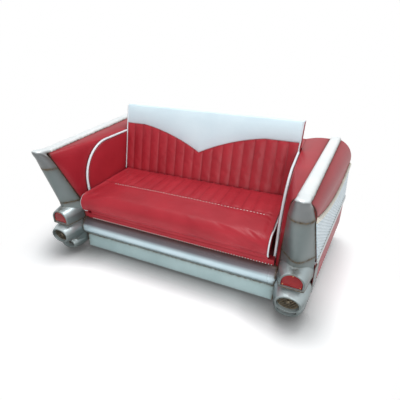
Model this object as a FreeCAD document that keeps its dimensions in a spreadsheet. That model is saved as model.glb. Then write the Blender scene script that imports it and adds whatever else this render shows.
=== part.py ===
import FreeCAD, Part
import math
import os

import Sketcher
from FreeCAD import Placement, Rotation, Vector

# A two-seat bench set between two car tail fins, as made from painted sheet on a welded tube frame.
# Millimetres. x runs across, the front looks along -y and z is the height above the floor.

doc = FreeCAD.newDocument("CarTailSofa")
sheet = doc.addObject("Spreadsheet::Sheet", "Sizes")

SIZES = {
    # Whole body
    "depth": 1055,
    "front": "=-depth / 2",
    "rear": "=depth / 2",
    "seam_gap": 0.3,
    "sheet_wall": 2,
    "skin_wall": 3,
    "trim_wall": 2.5,
    # Seat
    "seat_half_width": 604,
    "seat_height": 450,
    "seat_front_inset": 152,
    "seat_depth": 536,
    "seat_front": "=front + seat_front_inset",
    "back_line": "=seat_front + seat_depth",
    "seat_nose_radius": 52,
    "seat_nose_y": "=seat_front + seat_nose_radius",
    "seat_nose_z": "=seat_height - seat_nose_radius",
    "seat_tuck": 46,
    "seat_rear_gap": 3,
    "deck_top": 290,
    "deck_thickness": 15,
    "rail_top": "=deck_top - deck_thickness",
    "seat_board_thickness": 12,
    "seat_bottom": "=deck_top + seat_board_thickness + seam_gap",
    "seat_lip_share": 0.27,
    "seat_lip_height": "=seat_bottom + seat_lip_share * (seat_nose_z - seat_bottom)",
    "seat_lip_depth": 17,
    "seat_tuck_radius": "=(seat_tuck^2 + (seat_nose_z - seat_lip_height)^2) / (2 * seat_tuck)",
    "seat_rear_top": "=back_line - seat_rear_gap",
    "seat_rear_bottom": "=seat_rear_top - (seat_height - seat_bottom) * tan(recline)",
    "seat_channel_count": 15,
    "seat_channel_pitch": 70,
    "seat_channel_depth": 9,
    "seat_channel_span": "=seat_channel_count * seat_channel_pitch",
    "seat_channel_start": "=-seat_channel_span / 2",
    "seat_groove_count": "=seat_channel_count + 1",
    "groove_share": 0.42,
    "seat_groove_half": "=groove_share * seat_channel_pitch",
    "seat_groove_radius": "=(seat_groove_half^2 + seat_channel_depth^2) / (2 * seat_channel_depth)",
    "seat_groove_air": 1,
    "seat_seam_setback": 250,
    "seat_seam": "=seat_front + seat_seam_setback",
    "seat_seam_half": 7,
    "seat_seam_depth": 6,
    "seat_piping_radius": 4.5,
    "seat_board_inset": 12,
    "seat_board_half": "=seat_half_width - seat_board_inset",
    "seat_board_front": "=seat_front + seat_tuck + seat_lip_depth + seat_board_inset",
    "arm_clearance": 20,
    "arm_plane": "=seat_half_width + arm_clearance",
    "arm_pad_thickness": 20,
    "arm_pad_outer": "=arm_plane + arm_pad_thickness",
    "deck_side_gap": 4,
    "deck_half_width": "=arm_plane - deck_side_gap",
    "deck_rear": "=back_line - back_reach_down * sin(recline) - seat_rear_gap",
    # Backrest, measured in its own leaning frame
    "recline": 14,
    "back_side_gap": 4,
    "back_half_width": "=arm_pad_outer - back_side_gap",
    "back_face_height": 482,
    "back_pad_thickness": 60,
    "back_board_thickness": 15,
    "back_cover_thickness": 3,
    "back_thickness": "=back_pad_thickness + back_board_thickness + back_cover_thickness + 2 * seam_gap",
    "back_reach_down": "=(seat_height - rail_top - seam_gap - back_thickness * sin(recline)) / cos(recline)",
    "back_bottom": "=-back_reach_down",
    "back_channel_count": 18,
    "back_channel_pitch": "=2 * back_half_width / back_channel_count",
    "back_groove_half": "=groove_share * back_channel_pitch",
    "back_channel_depth": 9,
    "border_height": 346,
    "border_tip": 198,
    "border_flat": 450,
    "border_shift": -34,
    "border_radius": 1400,
    "back_edge_radius": 16,
    "back_piping_radius": 4,
    "back_piping_inset": 8,
    "back_groove_count": "=back_channel_count - 1",
    "back_groove_start": "=back_channel_pitch - back_half_width",
    "back_groove_span": "=-2 * back_groove_start",
    "back_groove_radius": "=(back_groove_half^2 + back_channel_depth^2) / (2 * back_channel_depth)",
    "back_groove_air": 1,
    "back_length": "=back_reach_down + back_face_height",
    "back_board_inset": 6,
    "back_board_front": "=back_pad_thickness + seam_gap",
    "back_board_rear": "=back_board_front + back_board_thickness",
    "back_cover_front": "=back_board_rear + seam_gap",
    "back_cover_inset": 3,
    # Arm pads and their piping
    "arm_pad_roll": 7,
    "arm_piping_radius": 8,
    "arm_front_inset": 264,
    "arm_front": "=front + arm_front_inset",
    "arm_top": 732,
    "arm_corner_radius": 236,
    "arm_corner_y": "=arm_front + arm_corner_radius",
    "arm_corner_z": "=arm_top - arm_corner_radius",
    "arm_welt_gap": 1,
    "arm_pad_inset": "=arm_piping_radius + arm_welt_gap",
    "arm_pad_radius": "=arm_corner_radius - arm_pad_inset",
    "arm_pad_front": "=arm_front + arm_pad_inset",
    "arm_pad_top": "=arm_top - arm_pad_inset",
    "arm_pad_bottom": "=rail_top + seam_gap",
    "arm_rear_clearance": 2,
    "arm_pad_rear_gap": "=2 * back_piping_radius / cos(recline) + arm_rear_clearance",
    "arm_pad_rear_top": "=back_line + (arm_pad_top - seat_height) * tan(recline) - arm_pad_rear_gap",
    "arm_pad_rear_bottom": "=back_line - (seat_height - arm_pad_bottom) * tan(recline) - arm_pad_rear_gap",
    "skin_rise": 3,
    # Fin strip, cap and trim
    "fin_offset": 102,
    "fin_x": "=arm_plane + fin_offset",
    "fin_spread": 109,
    "strip_base": 756,
    "strip_half_width": 34,
    "strip_crown": 18,
    "strip_fullness": 0.76,
    "cap_length": 95,
    "cap_nose_lead": 2.9,
    "cap_nose_rise": 23,
    "cap_bend_radius": 22,
    "cap_waist_height": 725,
    "cap_waist_half": 47,
    "cap_waist_depth": 50,
    "upper_seam": 661,
    "upper_trim_shift": 11,
    "upper_trim_half": 60,
    "upper_trim_setback": 39,
    "upper_trim_depth": 54,
    "lower_seam": 391,
    "lower_trim_shift": 26,
    "lower_trim_half": 84,
    "lower_trim_setback": 115,
    "lower_trim_depth": 89,
    "upper_trim_fullness": 0.69,
    "lower_trim_fullness": 0.63,
    "upper_edge": "=front + upper_trim_setback + upper_trim_depth",
    "lower_edge": "=front + lower_trim_setback + lower_trim_depth",
    "lamp_x": "=fin_x + lower_trim_shift",
    "edge_gap": 0.6,
    "skin_tuck": 3,
    "skin_setback": 4.5,
    "cap_foot_share": 0.6,
    "cap_bend_share": 0.3,
    # Outer side
    "side_step": 3,
    "side_front": "=fin_x + upper_trim_shift + upper_trim_half + side_step",
    "side_flare": 0.157,
    "side_batter": 0.082,
    "panel_gap": 4,
    "panel_tuck": 4,
    "moulding_front_height": 655,
    "moulding_dip_height": 566,
    "moulding_rear_height": 597,
    "moulding_width": 28,
    "moulding_proud": 11,
    "low_moulding_height": 350,
    "low_moulding_width": 32,
    "low_moulding_proud": 9,
    "low_moulding_valley": 3,
    "shoulder_front_height": 738,
    "shoulder_front_out": 44,
    "shoulder_rear_height": 727,
    "shoulder_rear_out": 77,
    "sill_tuck": 2,
    "sill_top": "=low_moulding_height - low_moulding_width / 2 + sill_tuck",
    "sill_bottom": 140,
    "sill_flare": 9,
    "sill_return": 25,
    "wrap_length": 100,
    "wrap_top": 318,
    "flute_pitch": 16,
    "flute_height": 4,
    "flute_base": 1.5,
    "flute_slope": 30,
    # Lamp
    "lamp_bottom": 250,
    "lamp_shoulder": 300,
    "lamp_rear_top": 366,
    "hood_setback": 76,
    "hood_rim": 10,
    "lamp_wall": 4,
    "lens_half_width": 52,
    "lens_base": 260,
    "lens_shoulder": 290,
    "lens_top": 338,
    "lens_setback": 83,
    "lens_front": "=front + lens_setback",
    "lens_thickness": 9,
    "lens_bevel": 4,
    "collar_foot": "=lamp_bottom + lamp_wall",
    "mount_plane_setback": 214,
    "mount_plane": "=front + mount_plane_setback",
    # Bumper end with its two ports
    "port_height": 175,
    "port_half_width": 56,
    "port_half_height": 43,
    "port_rim": 9,
    "port_setback": 43,
    "port_depth": 55,
    "grille_setback": 63,
    "grille_thickness": 6,
    "grille_bar": 5,
    "grille_bar_count": 7,
    "grille_boss_radius": 13,
    "scoop_height": 80,
    "scoop_half_width": 50,
    "scoop_half_height": 28,
    "scoop_rim": 12,
    "scoop_setback": 94,
    "scoop_depth": 50,
    "pod_inner_flank": 86,
    "pod_wall": 6,
    "pod_core_half": 50,
    # Bumper bar, valance and apron
    "bumper_end_gap": 2,
    "bumper_half_length": "=fin_x + lower_trim_shift - pod_inner_flank - bumper_end_gap",
    "bumper_top": 251,
    "skin_bottom": "=bumper_top + edge_gap",
    "bumper_bottom": 122,
    "bumper_lip_inset": 220,
    "bumper_lip": "=front + bumper_lip_inset",
    "bumper_radius": 67.5,
    "valance_bottom": 24,
    "valance_top_inset": 209,
    "valance_foot_inset": 195,
    "valance_top": "=bumper_bottom - seam_gap",
    "valance_front": "=front + valance_top_inset",
    "valance_foot": "=front + valance_foot_inset",
    "valance_flange": 45,
    "bumper_rear": "=rail_front - seam_gap",
    "skin_foot_gap": 3,
    "skin_foot": "=rail_front - skin_wall - skin_foot_gap",
    "bumper_inner_radius": "=bumper_radius - trim_wall",
    "bumper_length": "=2 * bumper_half_length",
    "apron_front_inset": 221,
    "apron_front": "=front + apron_front_inset",
    "apron_end_gap": 4,
    "apron_length": "=2 * (arm_pad_outer - apron_end_gap)",
    "apron_deck_step": 1,
    "apron_top": "=deck_top - apron_deck_step",
    "apron_crown_radius": 60,
    # Welded frame
    "tube": 30,
    "tube_wall": 2,
    "rail_bottom": "=rail_top - tube",
    "front_rail_inset": 255,
    "rail_front": "=front + front_rail_inset",
    "rail_rear": "=rear - sheet_wall - seam_gap",
    "side_drop": "=side_batter * (upper_seam - sill_top)",
    "side_at_rail": "=side_front + side_flare * (rail_front - upper_edge) + side_drop",
    "front_rail_reach": "=side_at_rail - sheet_wall - seam_gap",
    "rear_rail_reach": "=front_rail_reach + side_flare * (rail_rear - tube - rail_front)",
    "half_tube": "=tube / 2",
    "long_rail_inset": 4,
    "long_rail_x": "=seat_half_width - long_rail_inset",
    "side_rail_inset": 4,
    "side_rail_x": "=arm_pad_outer + side_rail_inset",
    "back_rail_y": "=deck_rear - tube",
    "foot_height": 20,
    "foot_radius": 24,
    "upright_height": 270,
    "upright_front": "=back_thickness + seam_gap",
    "upright_rear": "=upright_front + tube",
    "upright_bottom": "=(rail_top + seam_gap - seat_height + upright_rear * sin(recline)) / cos(recline)",
    "post_top": 560,
    "post_front_setback": 45,
    "post_front": "=rail_front + post_front_setback",
    "post_rear_inset": 150,
    "post_rear": "=rail_rear - post_rear_inset",
    "arm_rail_top": "=arm_top + skin_rise - skin_wall - seam_gap",
    "arm_rail_bottom": "=arm_rail_top - tube",
    "shelf_top": "=arm_top + skin_rise",
    "shelf_rise": "=shelf_top - seat_height + back_thickness * sin(recline)",
    "shelf_front": "=back_line + back_thickness * cos(recline) + shelf_rise * tan(recline) + seat_rear_gap",
    "shelf_half_width": "=arm_pad_outer - seam_gap",
    "bracket_plate": 4,
    "bracket_half_width": 64,
    "bracket_bottom": 60,
    "bracket_top": 340,
    # How finely the formed pieces are faceted
    "welt_facets": 8,
    "welt_turns": 10,
    "channel_facets": 12,
    "cap_spans": 10,
    "trim_spans": 3,
    "skin_facets": 12,
    "roll_facets": 8,
    "bead_facets": 6,
    "bead_spans": 14,
    "arch_facets": 12,
    "lamp_spans": 4,
    "oval_facets": 20,
    "barrel_spans": 4,
}
for row, (name, amount) in enumerate(SIZES.items(), start=1):
    sheet.set(f"A{row}", name)
    sheet.set(f"B{row}", str(amount))
    sheet.setAlias(f"B{row}", name)
doc.recompute()


def size(name):
    """The number in the sheet's cell of that name."""
    return float(sheet.get(name))


def terms(total):
    """The signed words of a sum such as 'rail_front - seam_gap', as (sign, word) pairs."""
    sign = 1
    for word in total.replace("+", " + ").replace("-", " - ").split():
        if word == "+":
            continue
        if word == "-":
            sign = -sign
            continue
        yield sign, word
        sign = 1


def value(total):
    """The number that a sum of sheet names and plain numbers comes to."""
    return sum(sign * (size(word) if word in SIZES else float(word)) for sign, word in terms(total))


def bound(total):
    """The same sum as an expression on the sheet's cells."""
    parts = []
    for sign, word in terms(total):
        cell = f"Sizes.{word}" if word in SIZES else word
        parts.append(f"{'-' if sign < 0 else '+'} {cell}")
    return "0 " + " ".join(parts)


nodes = {}


def node(label, thing):
    """Keep a finished piece under the name of its file."""
    thing.Label = label
    nodes[label] = thing
    return thing


def formed(label, shape):
    """A piece whose curved form is set from Part's own functions."""
    thing = doc.addObject("Part::Feature", label)
    thing.Shape = shape
    return node(label, thing)


def mirrored(label, source):
    """The left-hand twin of a right-hand piece."""
    twin = doc.addObject("Part::Mirroring", label)
    twin.Source = source
    twin.Normal = Vector(1, 0, 0)
    return node(label, twin)


def group(label, members):
    """Separate solids that belong to one node."""
    gathered = doc.addObject("Part::Compound", label)
    gathered.Links = members
    return node(label, gathered)


def pair(name, right):
    """Name the right-hand piece and make its left-hand twin."""
    node(f"right_{name}", right)
    mirrored(f"left_{name}", right)


def block(name, *spans):
    """A box between two sums on each axis."""
    made = doc.addObject("Part::Box", name)
    for prop, axis, (low, high) in zip(("Length", "Width", "Height"), "xyz", spans):
        made.setExpression(prop, f"({bound(high)}) - ({bound(low)})")
        made.setExpression(f"Placement.Base.{axis}", bound(low))
    return made


def tube(name, run, *spans):
    """A square tube that runs along one axis and is open at both ends."""
    bore = []
    for axis, (low, high) in zip("xyz", spans):
        walled = (f"{low} + tube_wall", f"{high} - tube_wall")
        bore.append((low, high) if axis == run else walled)
    made = doc.addObject("Part::Cut", name)
    made.Base = block(name + "_outside", *spans)
    made.Tool = block(name + "_bore", *bore)
    return made


def minus(total):
    """The sum with every sign turned round."""
    return " ".join(f"{'+' if sign < 0 else '-'} {word}" for sign, word in terms(total))


# Sketches: corners are sums of sheet names, and an edge may be an arc of a given radius.


def sketch_on(body, name, role, offset=None):
    """An empty sketch on one of the body's own origin planes, moved along its normal."""
    made = body.newObject("Sketcher::SketchObject", name)
    plane = [item for item in body.Origin.OriginFeatures if item.Role == role][0]
    made.AttachmentSupport = [(plane, "")]
    made.MapMode = "FlatFace"
    if offset:
        made.setExpression("AttachmentOffset.Base.z", bound(offset))
    return made


def outline(sketch, corners):
    """A closed outline of (across, up, radius, turn); radius and turn belong to the edge that leaves."""
    points = [Vector(value(corner[0]), value(corner[1]), 0) for corner in corners]
    edges = []
    for index, corner in enumerate(corners):
        start = points[index]
        end = points[(index + 1) % len(points)]
        if len(corner) == 2:
            edge = sketch.addGeometry(Part.LineSegment(start, end))
            edges.append((edge, 1, 2))
            continue
        radius, turn = corner[2], corner[3]
        chord = end - start
        right = Vector(chord.y, -chord.x, 0)
        right.normalize()
        reach = math.sqrt(value(radius) ** 2 - (chord.Length / 2) ** 2)
        centre = (start + end) * 0.5 - right * (reach * turn)
        first, last = (start, end) if turn > 0 else (end, start)
        first_angle = math.atan2(first.y - centre.y, first.x - centre.x)
        last_angle = math.atan2(last.y - centre.y, last.x - centre.x)
        circle = Part.Circle(centre, Vector(0, 0, 1), value(radius))
        edge = sketch.addGeometry(Part.ArcOfCircle(circle, first_angle, last_angle))
        edges.append((edge, 1, 2) if turn > 0 else (edge, 2, 1))
        number = sketch.addConstraint(Sketcher.Constraint("Radius", edge, value(radius)))
        sketch.setExpression(f"Constraints[{number}]", bound(radius))
    for index, corner in enumerate(corners):
        edge, first, last = edges[index]
        before, _, before_last = edges[index - 1]
        sketch.addConstraint(Sketcher.Constraint("Coincident", before, before_last, edge, first))
        for kind, total in (("DistanceX", corner[0]), ("DistanceY", corner[1])):
            number = sketch.addConstraint(Sketcher.Constraint(kind, -1, 1, edge, first, value(total)))
            sketch.setExpression(f"Constraints[{number}]", bound(total))


def padded(body, sketch, length, both=False, backward=False):
    """A pad of the sketch, to one side or the same to both."""
    made = body.newObject("PartDesign::Pad", sketch.Name + "_pad")
    made.Profile = sketch
    made.setExpression("Length", bound(length))
    made.SideType = "Symmetric" if both else "One side"
    made.Reversed = backward
    body.Tip = made
    return made


def pocketed(body, sketch, length, both=False, backward=False):
    """A pocket of the sketch, to one side or the same to both."""
    made = body.newObject("PartDesign::Pocket", sketch.Name + "_pocket")
    made.Profile = sketch
    made.setExpression("Length", bound(length))
    made.SideType = "Symmetric" if both else "One side"
    made.Reversed = backward
    body.Tip = made
    return made


def repeated(body, feature, sketch, span, count):
    """Copies of a feature along its sketch's horizontal axis."""
    made = body.newObject("PartDesign::LinearPattern", feature.Name + "_row")
    made.Originals = [feature]
    made.Direction = (sketch, ["H_Axis"])
    made.setExpression("Length", bound(span))
    made.setExpression("Occurrences", bound(count))
    body.Tip = made
    return made


def softened(body, feature, radius, chosen):
    """Round the edges of a feature that the test picks."""
    doc.recompute()
    names = [f"Edge{number}" for number, edge in enumerate(feature.Shape.Edges, start=1) if chosen(edge)]
    made = body.newObject("PartDesign::Fillet", feature.Name + "_round")
    made.Base = (feature, names)
    made.setExpression("Radius", bound(radius))
    body.Tip = made
    return made


# Welded frame: square tubes butt against each other, with legs on glides under the long rails.

rail_z = ("rail_bottom", "rail_top")
frame_tubes = [
    tube("front_rail", "x", ("- front_rail_reach", "front_rail_reach"),
         ("rail_front", "rail_front + tube"), rail_z),
    tube("rear_rail", "x", ("- rear_rail_reach", "rear_rail_reach"),
         ("rail_rear - tube", "rail_rear"), rail_z),
    tube("middle_rail", "y", ("- half_tube", "half_tube"), ("rail_front + tube", "back_rail_y"), rail_z),
    tube("back_rail", "x", ("- long_rail_x + half_tube", "long_rail_x - half_tube"),
         ("back_rail_y", "back_rail_y + tube"), rail_z),
]
leg_rows = {"front": "rail_front + tube", "middle": "back_rail_y", "rear": "rail_rear - tube - tube"}
glides = []
for side, centre in (("left", "- long_rail_x"), ("right", "long_rail_x")):
    across = (f"{centre} - half_tube", f"{centre} + half_tube")
    between_rails = ("rail_front + tube", "rail_rear - tube")
    frame_tubes.append(tube(f"{side}_long_rail", "y", across, between_rails, rail_z))
    inner, outer = "side_rail_x", "side_rail_x + tube"
    beside = (inner, outer) if side == "right" else (minus(outer), minus(inner))
    frame_tubes.append(tube(f"{side}_side_rail", "y", beside, between_rails, rail_z))
    for place, start in leg_rows.items():
        along = (start, f"{start} + tube")
        frame_tubes.append(tube(f"{side}_{place}_leg", "z", across, along, ("foot_height", "rail_bottom")))
        glide = doc.addObject("Part::Cylinder", f"{side}_{place}_glide")
        glide.setExpression("Radius", bound("foot_radius"))
        glide.setExpression("Height", bound("foot_height"))
        glide.setExpression("Placement.Base.x", bound(centre))
        glide.setExpression("Placement.Base.y", bound(f"{start} + half_tube"))
        glides.append(glide)
group("base_frame", frame_tubes)
group("feet", glides)

# Arm frames: a front post, a rear post and the rail that the arm skin lies on.

post_x = ("side_rail_x", "side_rail_x + tube")
arm_tubes = [
    tube("arm_front_post", "z", post_x, ("post_front", "post_front + tube"), ("rail_top", "post_top")),
    tube("arm_rear_post", "z", post_x, ("post_rear", "post_rear + tube"), ("rail_top", "arm_rail_bottom")),
    tube("arm_rail", "y", post_x, ("arm_corner_y + tube", "rail_rear"), ("arm_rail_bottom", "arm_rail_top")),
]
pair("arm_frame", group("right_arm_frame", arm_tubes))

# Seat: a plywood deck on the rails, and a loose cushion on its own board.

seat_deck = block("seat_deck", ("- deck_half_width", "deck_half_width"), ("rail_front", "deck_rear"),
                  ("rail_top", "deck_top"))
node("seat_deck", seat_deck)
seat_board = block("seat_board", ("- seat_board_half", "seat_board_half"),
                   ("seat_board_front", "seat_rear_bottom - seat_board_inset"),
                   ("deck_top", "deck_top + seat_board_thickness"))
node("seat_board", seat_board)

seat_cushion = doc.addObject("PartDesign::Body", "seat_cushion")
seat_profile = sketch_on(seat_cushion, "seat_profile", "YZ_Plane")
outline(seat_profile, [
    ("seat_front + seat_tuck + seat_lip_depth", "seat_bottom"),
    ("seat_rear_bottom", "seat_bottom"),
    ("seat_rear_top", "seat_height"),
    ("seat_nose_y", "seat_height", "seat_nose_radius", 1),
    ("seat_front", "seat_nose_z", "seat_tuck_radius", 1),
    ("seat_front + seat_tuck", "seat_lip_height"),
    ("seat_front + seat_tuck + seat_lip_depth", "seat_lip_height"),
])
padded(seat_cushion, seat_profile, "seat_half_width + seat_half_width", both=True)
seat_groove = sketch_on(seat_cushion, "seat_groove", "XZ_Plane", minus("seat_seam"))
outline(seat_groove, [
    ("seat_channel_start - seat_groove_half", "seat_height + seat_groove_air"),
    ("seat_channel_start - seat_groove_half", "seat_height", "seat_groove_radius", -1),
    ("seat_channel_start", "seat_height - seat_channel_depth", "seat_groove_radius", -1),
    ("seat_channel_start + seat_groove_half", "seat_height"),
    ("seat_channel_start + seat_groove_half", "seat_height + seat_groove_air"),
])
seat_groove_cut = pocketed(seat_cushion, seat_groove, "seat_depth")
repeated(seat_cushion, seat_groove_cut, seat_groove, "seat_channel_span", "seat_groove_count")
seat_seam = sketch_on(seat_cushion, "seat_front_seam", "YZ_Plane")
outline(seat_seam, [
    ("seat_seam - seat_seam_half", "seat_height + seat_groove_air"),
    ("seat_seam", "seat_height - seat_seam_depth"),
    ("seat_seam + seat_seam_half", "seat_height + seat_groove_air"),
])
pocketed(seat_cushion, seat_seam, "seat_channel_span", both=True)
node("seat_cushion", seat_cushion)


# Formed pieces are straight-sided solids through sections whose corners match.

FLATNESS = 1e-7


def closed(corners):
    """The closed outline through a section's corners."""
    return Part.makePolygon(corners + corners[:1])


def flat_faces(corners):
    """One face on four corners that lie flat, or two that meet on the shorter diagonal where they twist."""
    normal = (corners[1] - corners[0]).cross(corners[3] - corners[0]).normalize()
    if abs((corners[2] - corners[0]).dot(normal)) < FLATNESS:
        return [Part.Face(closed(corners))]
    if corners[3].distanceToPoint(corners[1]) < corners[2].distanceToPoint(corners[0]):
        corners = corners[1:] + corners[:1]
    return [Part.Face(closed(corners[:3])), Part.Face(closed(corners[2:] + corners[:1]))]


def skinned(sections):
    """A solid of flat faces through sections with matching corners."""
    faces = [Part.Face(closed(sections[0])), Part.Face(closed(sections[-1]))]
    for near, far in zip(sections, sections[1:]):
        for index in range(len(near)):
            faces += flat_faces([near[index - 1], near[index], far[index], far[index - 1]])
    shell = Part.makeShell(faces)
    shell.sewShape()
    solid = Part.makeSolid(shell)
    if solid.Volume < 0:
        solid.reverse()
    return solid


def steps(count):
    """Even steps from 0 to 1."""
    last = int(size(count))
    return [step / last for step in range(last + 1)]


def faceted(curve, count):
    """Evenly spaced points along a curve."""
    return curve.discretize(Number=int(size(count)) + 1)


def welt(path, radius):
    """A round welt along lines and arcs that lie in a plane across x."""
    across = Vector(1, 0, 0)
    rings = []
    for edge in path:
        straight = isinstance(edge.Curve, Part.Line)
        for step in (0, 1) if straight else steps("welt_turns"):
            if rings and step == 0:
                continue
            place = blend(edge.FirstParameter, edge.LastParameter, step)
            middle, up = edge.valueAt(place), edge.tangentAt(place).cross(across)
            turns = [2 * math.pi * part for part in steps("welt_facets")[:-1]]
            spokes = [across * math.cos(turn) + up * math.sin(turn) for turn in turns]
            rings.append([middle + spoke * radius for spoke in spokes])
    return skinned(rings)


def blend(low, high, part):
    """The amount a given part of the way from low to high."""
    return low + (high - low) * part


bead = size("seat_piping_radius")
welt_x = size("seat_half_width") + bead + size("seam_gap")
nose = size("seat_nose_radius") - bead / 2
nose_middle = Vector(welt_x, size("seat_nose_y"), size("seat_nose_z"))
nose_top = nose_middle + Vector(0, 0, nose)
nose_front = nose_middle - Vector(0, nose, 0)
nose_corner = nose_middle + Vector(0, -nose, nose) * math.sqrt(0.5)
tuck_radius = size("seat_tuck_radius") - bead / 2
tuck_middle = nose_front + Vector(0, tuck_radius, 0)
tuck_drop = math.asin((size("seat_nose_z") - size("seat_lip_height") - bead) / tuck_radius)


def tuck_point(angle):
    """A point of the welt under the cushion's nose."""
    return tuck_middle + Vector(0, -math.cos(angle), -math.sin(angle)) * tuck_radius


seat_welt_path = [
    Part.makeLine(Vector(welt_x, size("seat_rear_top") - bead, nose_top.z), nose_top),
    Part.Arc(nose_top, nose_corner, nose_front).toShape(),
    Part.Arc(nose_front, tuck_point(tuck_drop / 2), tuck_point(tuck_drop)).toShape(),
]
pair("seat_piping", formed("right_seat_piping", welt(seat_welt_path, bead)))

# Backrest: channelled red pad below, plain white pad above, on a board that leans on two uprights.

back_foot = Vector(0, size("back_line"), size("seat_height"))
leaning = Placement(back_foot, Rotation(Vector(1, 0, 0), -size("recline")))


def lean(thing):
    """Stand a piece that is drawn upright in the backrest's own frame."""
    thing.setExpression("Placement.Base.y", bound("back_line"))
    thing.setExpression("Placement.Base.z", bound("seat_height"))
    thing.Placement.Rotation = leaning.Rotation
    return thing


back_channel_pad = doc.addObject("PartDesign::Body", "back_channel_pad")
channel_face = sketch_on(back_channel_pad, "channel_face", "XZ_Plane")
outline(channel_face, [
    ("- back_half_width", "back_bottom"),
    ("back_half_width", "back_bottom"),
    ("back_half_width", "border_height"),
    ("border_shift + border_flat", "border_height", "border_radius", 1),
    ("border_shift", "border_tip", "border_radius", 1),
    ("border_shift - border_flat", "border_height"),
    ("- back_half_width", "border_height"),
])
padded(back_channel_pad, channel_face, "back_pad_thickness", backward=True)
back_groove = sketch_on(back_channel_pad, "back_groove", "XY_Plane", "back_bottom")
outline(back_groove, [
    ("back_groove_start - back_groove_half", "- back_groove_air"),
    ("back_groove_start + back_groove_half", "- back_groove_air"),
    ("back_groove_start + back_groove_half", "0", "back_groove_radius", -1),
    ("back_groove_start", "back_channel_depth", "back_groove_radius", -1),
    ("back_groove_start - back_groove_half", "0"),
])
back_groove_cut = pocketed(back_channel_pad, back_groove, "back_length", backward=True)
repeated(back_channel_pad, back_groove_cut, back_groove, "back_groove_span", "back_groove_count")
node("back_channel_pad", lean(back_channel_pad))

back_white_pad = doc.addObject("PartDesign::Body", "back_white_pad")
white_face = sketch_on(back_white_pad, "white_face", "XZ_Plane")
outline(white_face, [
    ("- back_half_width", "border_height + seam_gap"),
    ("border_shift - border_flat", "border_height + seam_gap", "border_radius", -1),
    ("border_shift", "border_tip + seam_gap", "border_radius", -1),
    ("border_shift + border_flat", "border_height + seam_gap"),
    ("back_half_width", "border_height + seam_gap"),
    ("back_half_width", "back_face_height"),
    ("- back_half_width", "back_face_height"),
])
white_pad = padded(back_white_pad, white_face, "back_pad_thickness", backward=True)


def on_white_rim(edge):
    """True for the front edges along the top and the two sides."""
    middle = edge.CenterOfMass
    at_top = abs(middle.z - size("back_face_height")) < size("seam_gap")
    at_side = abs(abs(middle.x) - size("back_half_width")) < size("seam_gap")
    return abs(middle.y) < size("seam_gap") and (at_top or at_side)


softened(back_white_pad, white_pad, "back_edge_radius", on_white_rim)
node("back_white_pad", lean(back_white_pad))


def leaning_block(name, *spans):
    """A box in the backrest's frame: across, into the thickness and up the face."""
    drawn = block(name + "_upright", *spans)
    made = doc.addObject("Part::Compound", name)
    made.Links = [drawn]
    return lean(made)


node("back_board", leaning_block(
    "back_board", ("- back_half_width + back_board_inset", "back_half_width - back_board_inset"),
    ("back_board_front", "back_board_rear"), ("back_bottom", "back_face_height - back_board_inset")))
node("back_cover", leaning_block(
    "back_cover", ("- back_half_width + back_cover_inset", "back_half_width - back_cover_inset"),
    ("back_cover_front", "back_cover_front + back_cover_thickness"),
    ("back_bottom", "back_face_height - back_cover_inset")))
upright_tubes = [
    tube("back_cross_tube", "x", ("- long_rail_x + half_tube", "long_rail_x - half_tube"),
         ("upright_front", "upright_rear"), ("upright_height - tube", "upright_height")),
]
for side, centre in (("left", "- long_rail_x"), ("right", "long_rail_x")):
    upright_tubes.append(tube(f"{side}_upright", "z", (f"{centre} - half_tube", f"{centre} + half_tube"),
                              ("upright_front", "upright_rear"), ("upright_bottom", "upright_height")))
lean(group("back_frame", upright_tubes))

back_welt = doc.addObject("Part::Cylinder", "back_welt")
back_welt.setExpression("Radius", bound("back_piping_radius"))
back_welt.setExpression("Height", bound("back_face_height - back_edge_radius"))
back_welt.setExpression("Placement.Base.x", bound("back_half_width - back_piping_inset"))
back_welt.setExpression("Placement.Base.y", bound("- back_piping_radius - seam_gap"))
back_piping = doc.addObject("Part::Compound", "right_back_piping")
back_piping.Links = [back_welt]
pair("back_piping", lean(back_piping))

# Arm pads: flat padded panels with a quarter-round front corner, edged by a thick white welt.

arm_pad = doc.addObject("PartDesign::Body", "right_arm_pad")
arm_face = sketch_on(arm_pad, "arm_face", "YZ_Plane", "arm_plane")
outline(arm_face, [
    ("arm_pad_front", "arm_pad_bottom"),
    ("arm_pad_rear_bottom", "arm_pad_bottom"),
    ("arm_pad_rear_top", "arm_pad_top"),
    ("arm_corner_y", "arm_pad_top", "arm_pad_radius", 1),
    ("arm_pad_front", "arm_corner_z"),
])
arm_block = padded(arm_pad, arm_face, "arm_pad_thickness")


def on_arm_rim(edge):
    """True for the inner edges along the front, the round corner and the top."""
    middle = edge.CenterOfMass
    low = abs(middle.z - size("arm_pad_bottom")) < size("seam_gap")
    far = middle.y > size("arm_pad_rear_bottom") and middle.z < size("arm_pad_top") - size("seam_gap")
    return abs(middle.x - size("arm_plane")) < size("seam_gap") and not low and not far


softened(arm_pad, arm_block, "arm_pad_roll", on_arm_rim)
pair("arm_pad", arm_pad)

arm_welt_x = size("arm_plane") + size("arm_pad_thickness") / 2
corner_y, corner_z, corner = size("arm_corner_y"), size("arm_corner_z"), size("arm_corner_radius")
welt_front = Vector(arm_welt_x, size("arm_front"), corner_z)
welt_top = Vector(arm_welt_x, corner_y, size("arm_top"))
welt_corner = Vector(arm_welt_x, corner_y - corner * math.sqrt(0.5), corner_z + corner * math.sqrt(0.5))
arm_welt_path = [
    Part.makeLine(Vector(arm_welt_x, size("arm_front"), size("arm_pad_bottom")), welt_front),
    Part.Arc(welt_front, welt_corner, welt_top).toShape(),
    Part.makeLine(welt_top, Vector(arm_welt_x, size("arm_pad_rear_top"), size("arm_top"))),
]
pair("arm_piping", formed("right_arm_piping", welt(arm_welt_path, size("arm_piping_radius"))))

# Fin ends: the strip, the cap, the trim and the lamp hood share one channel section that grows downward.

front, rear = size("front"), size("rear")
gap = size("seam_gap")


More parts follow.
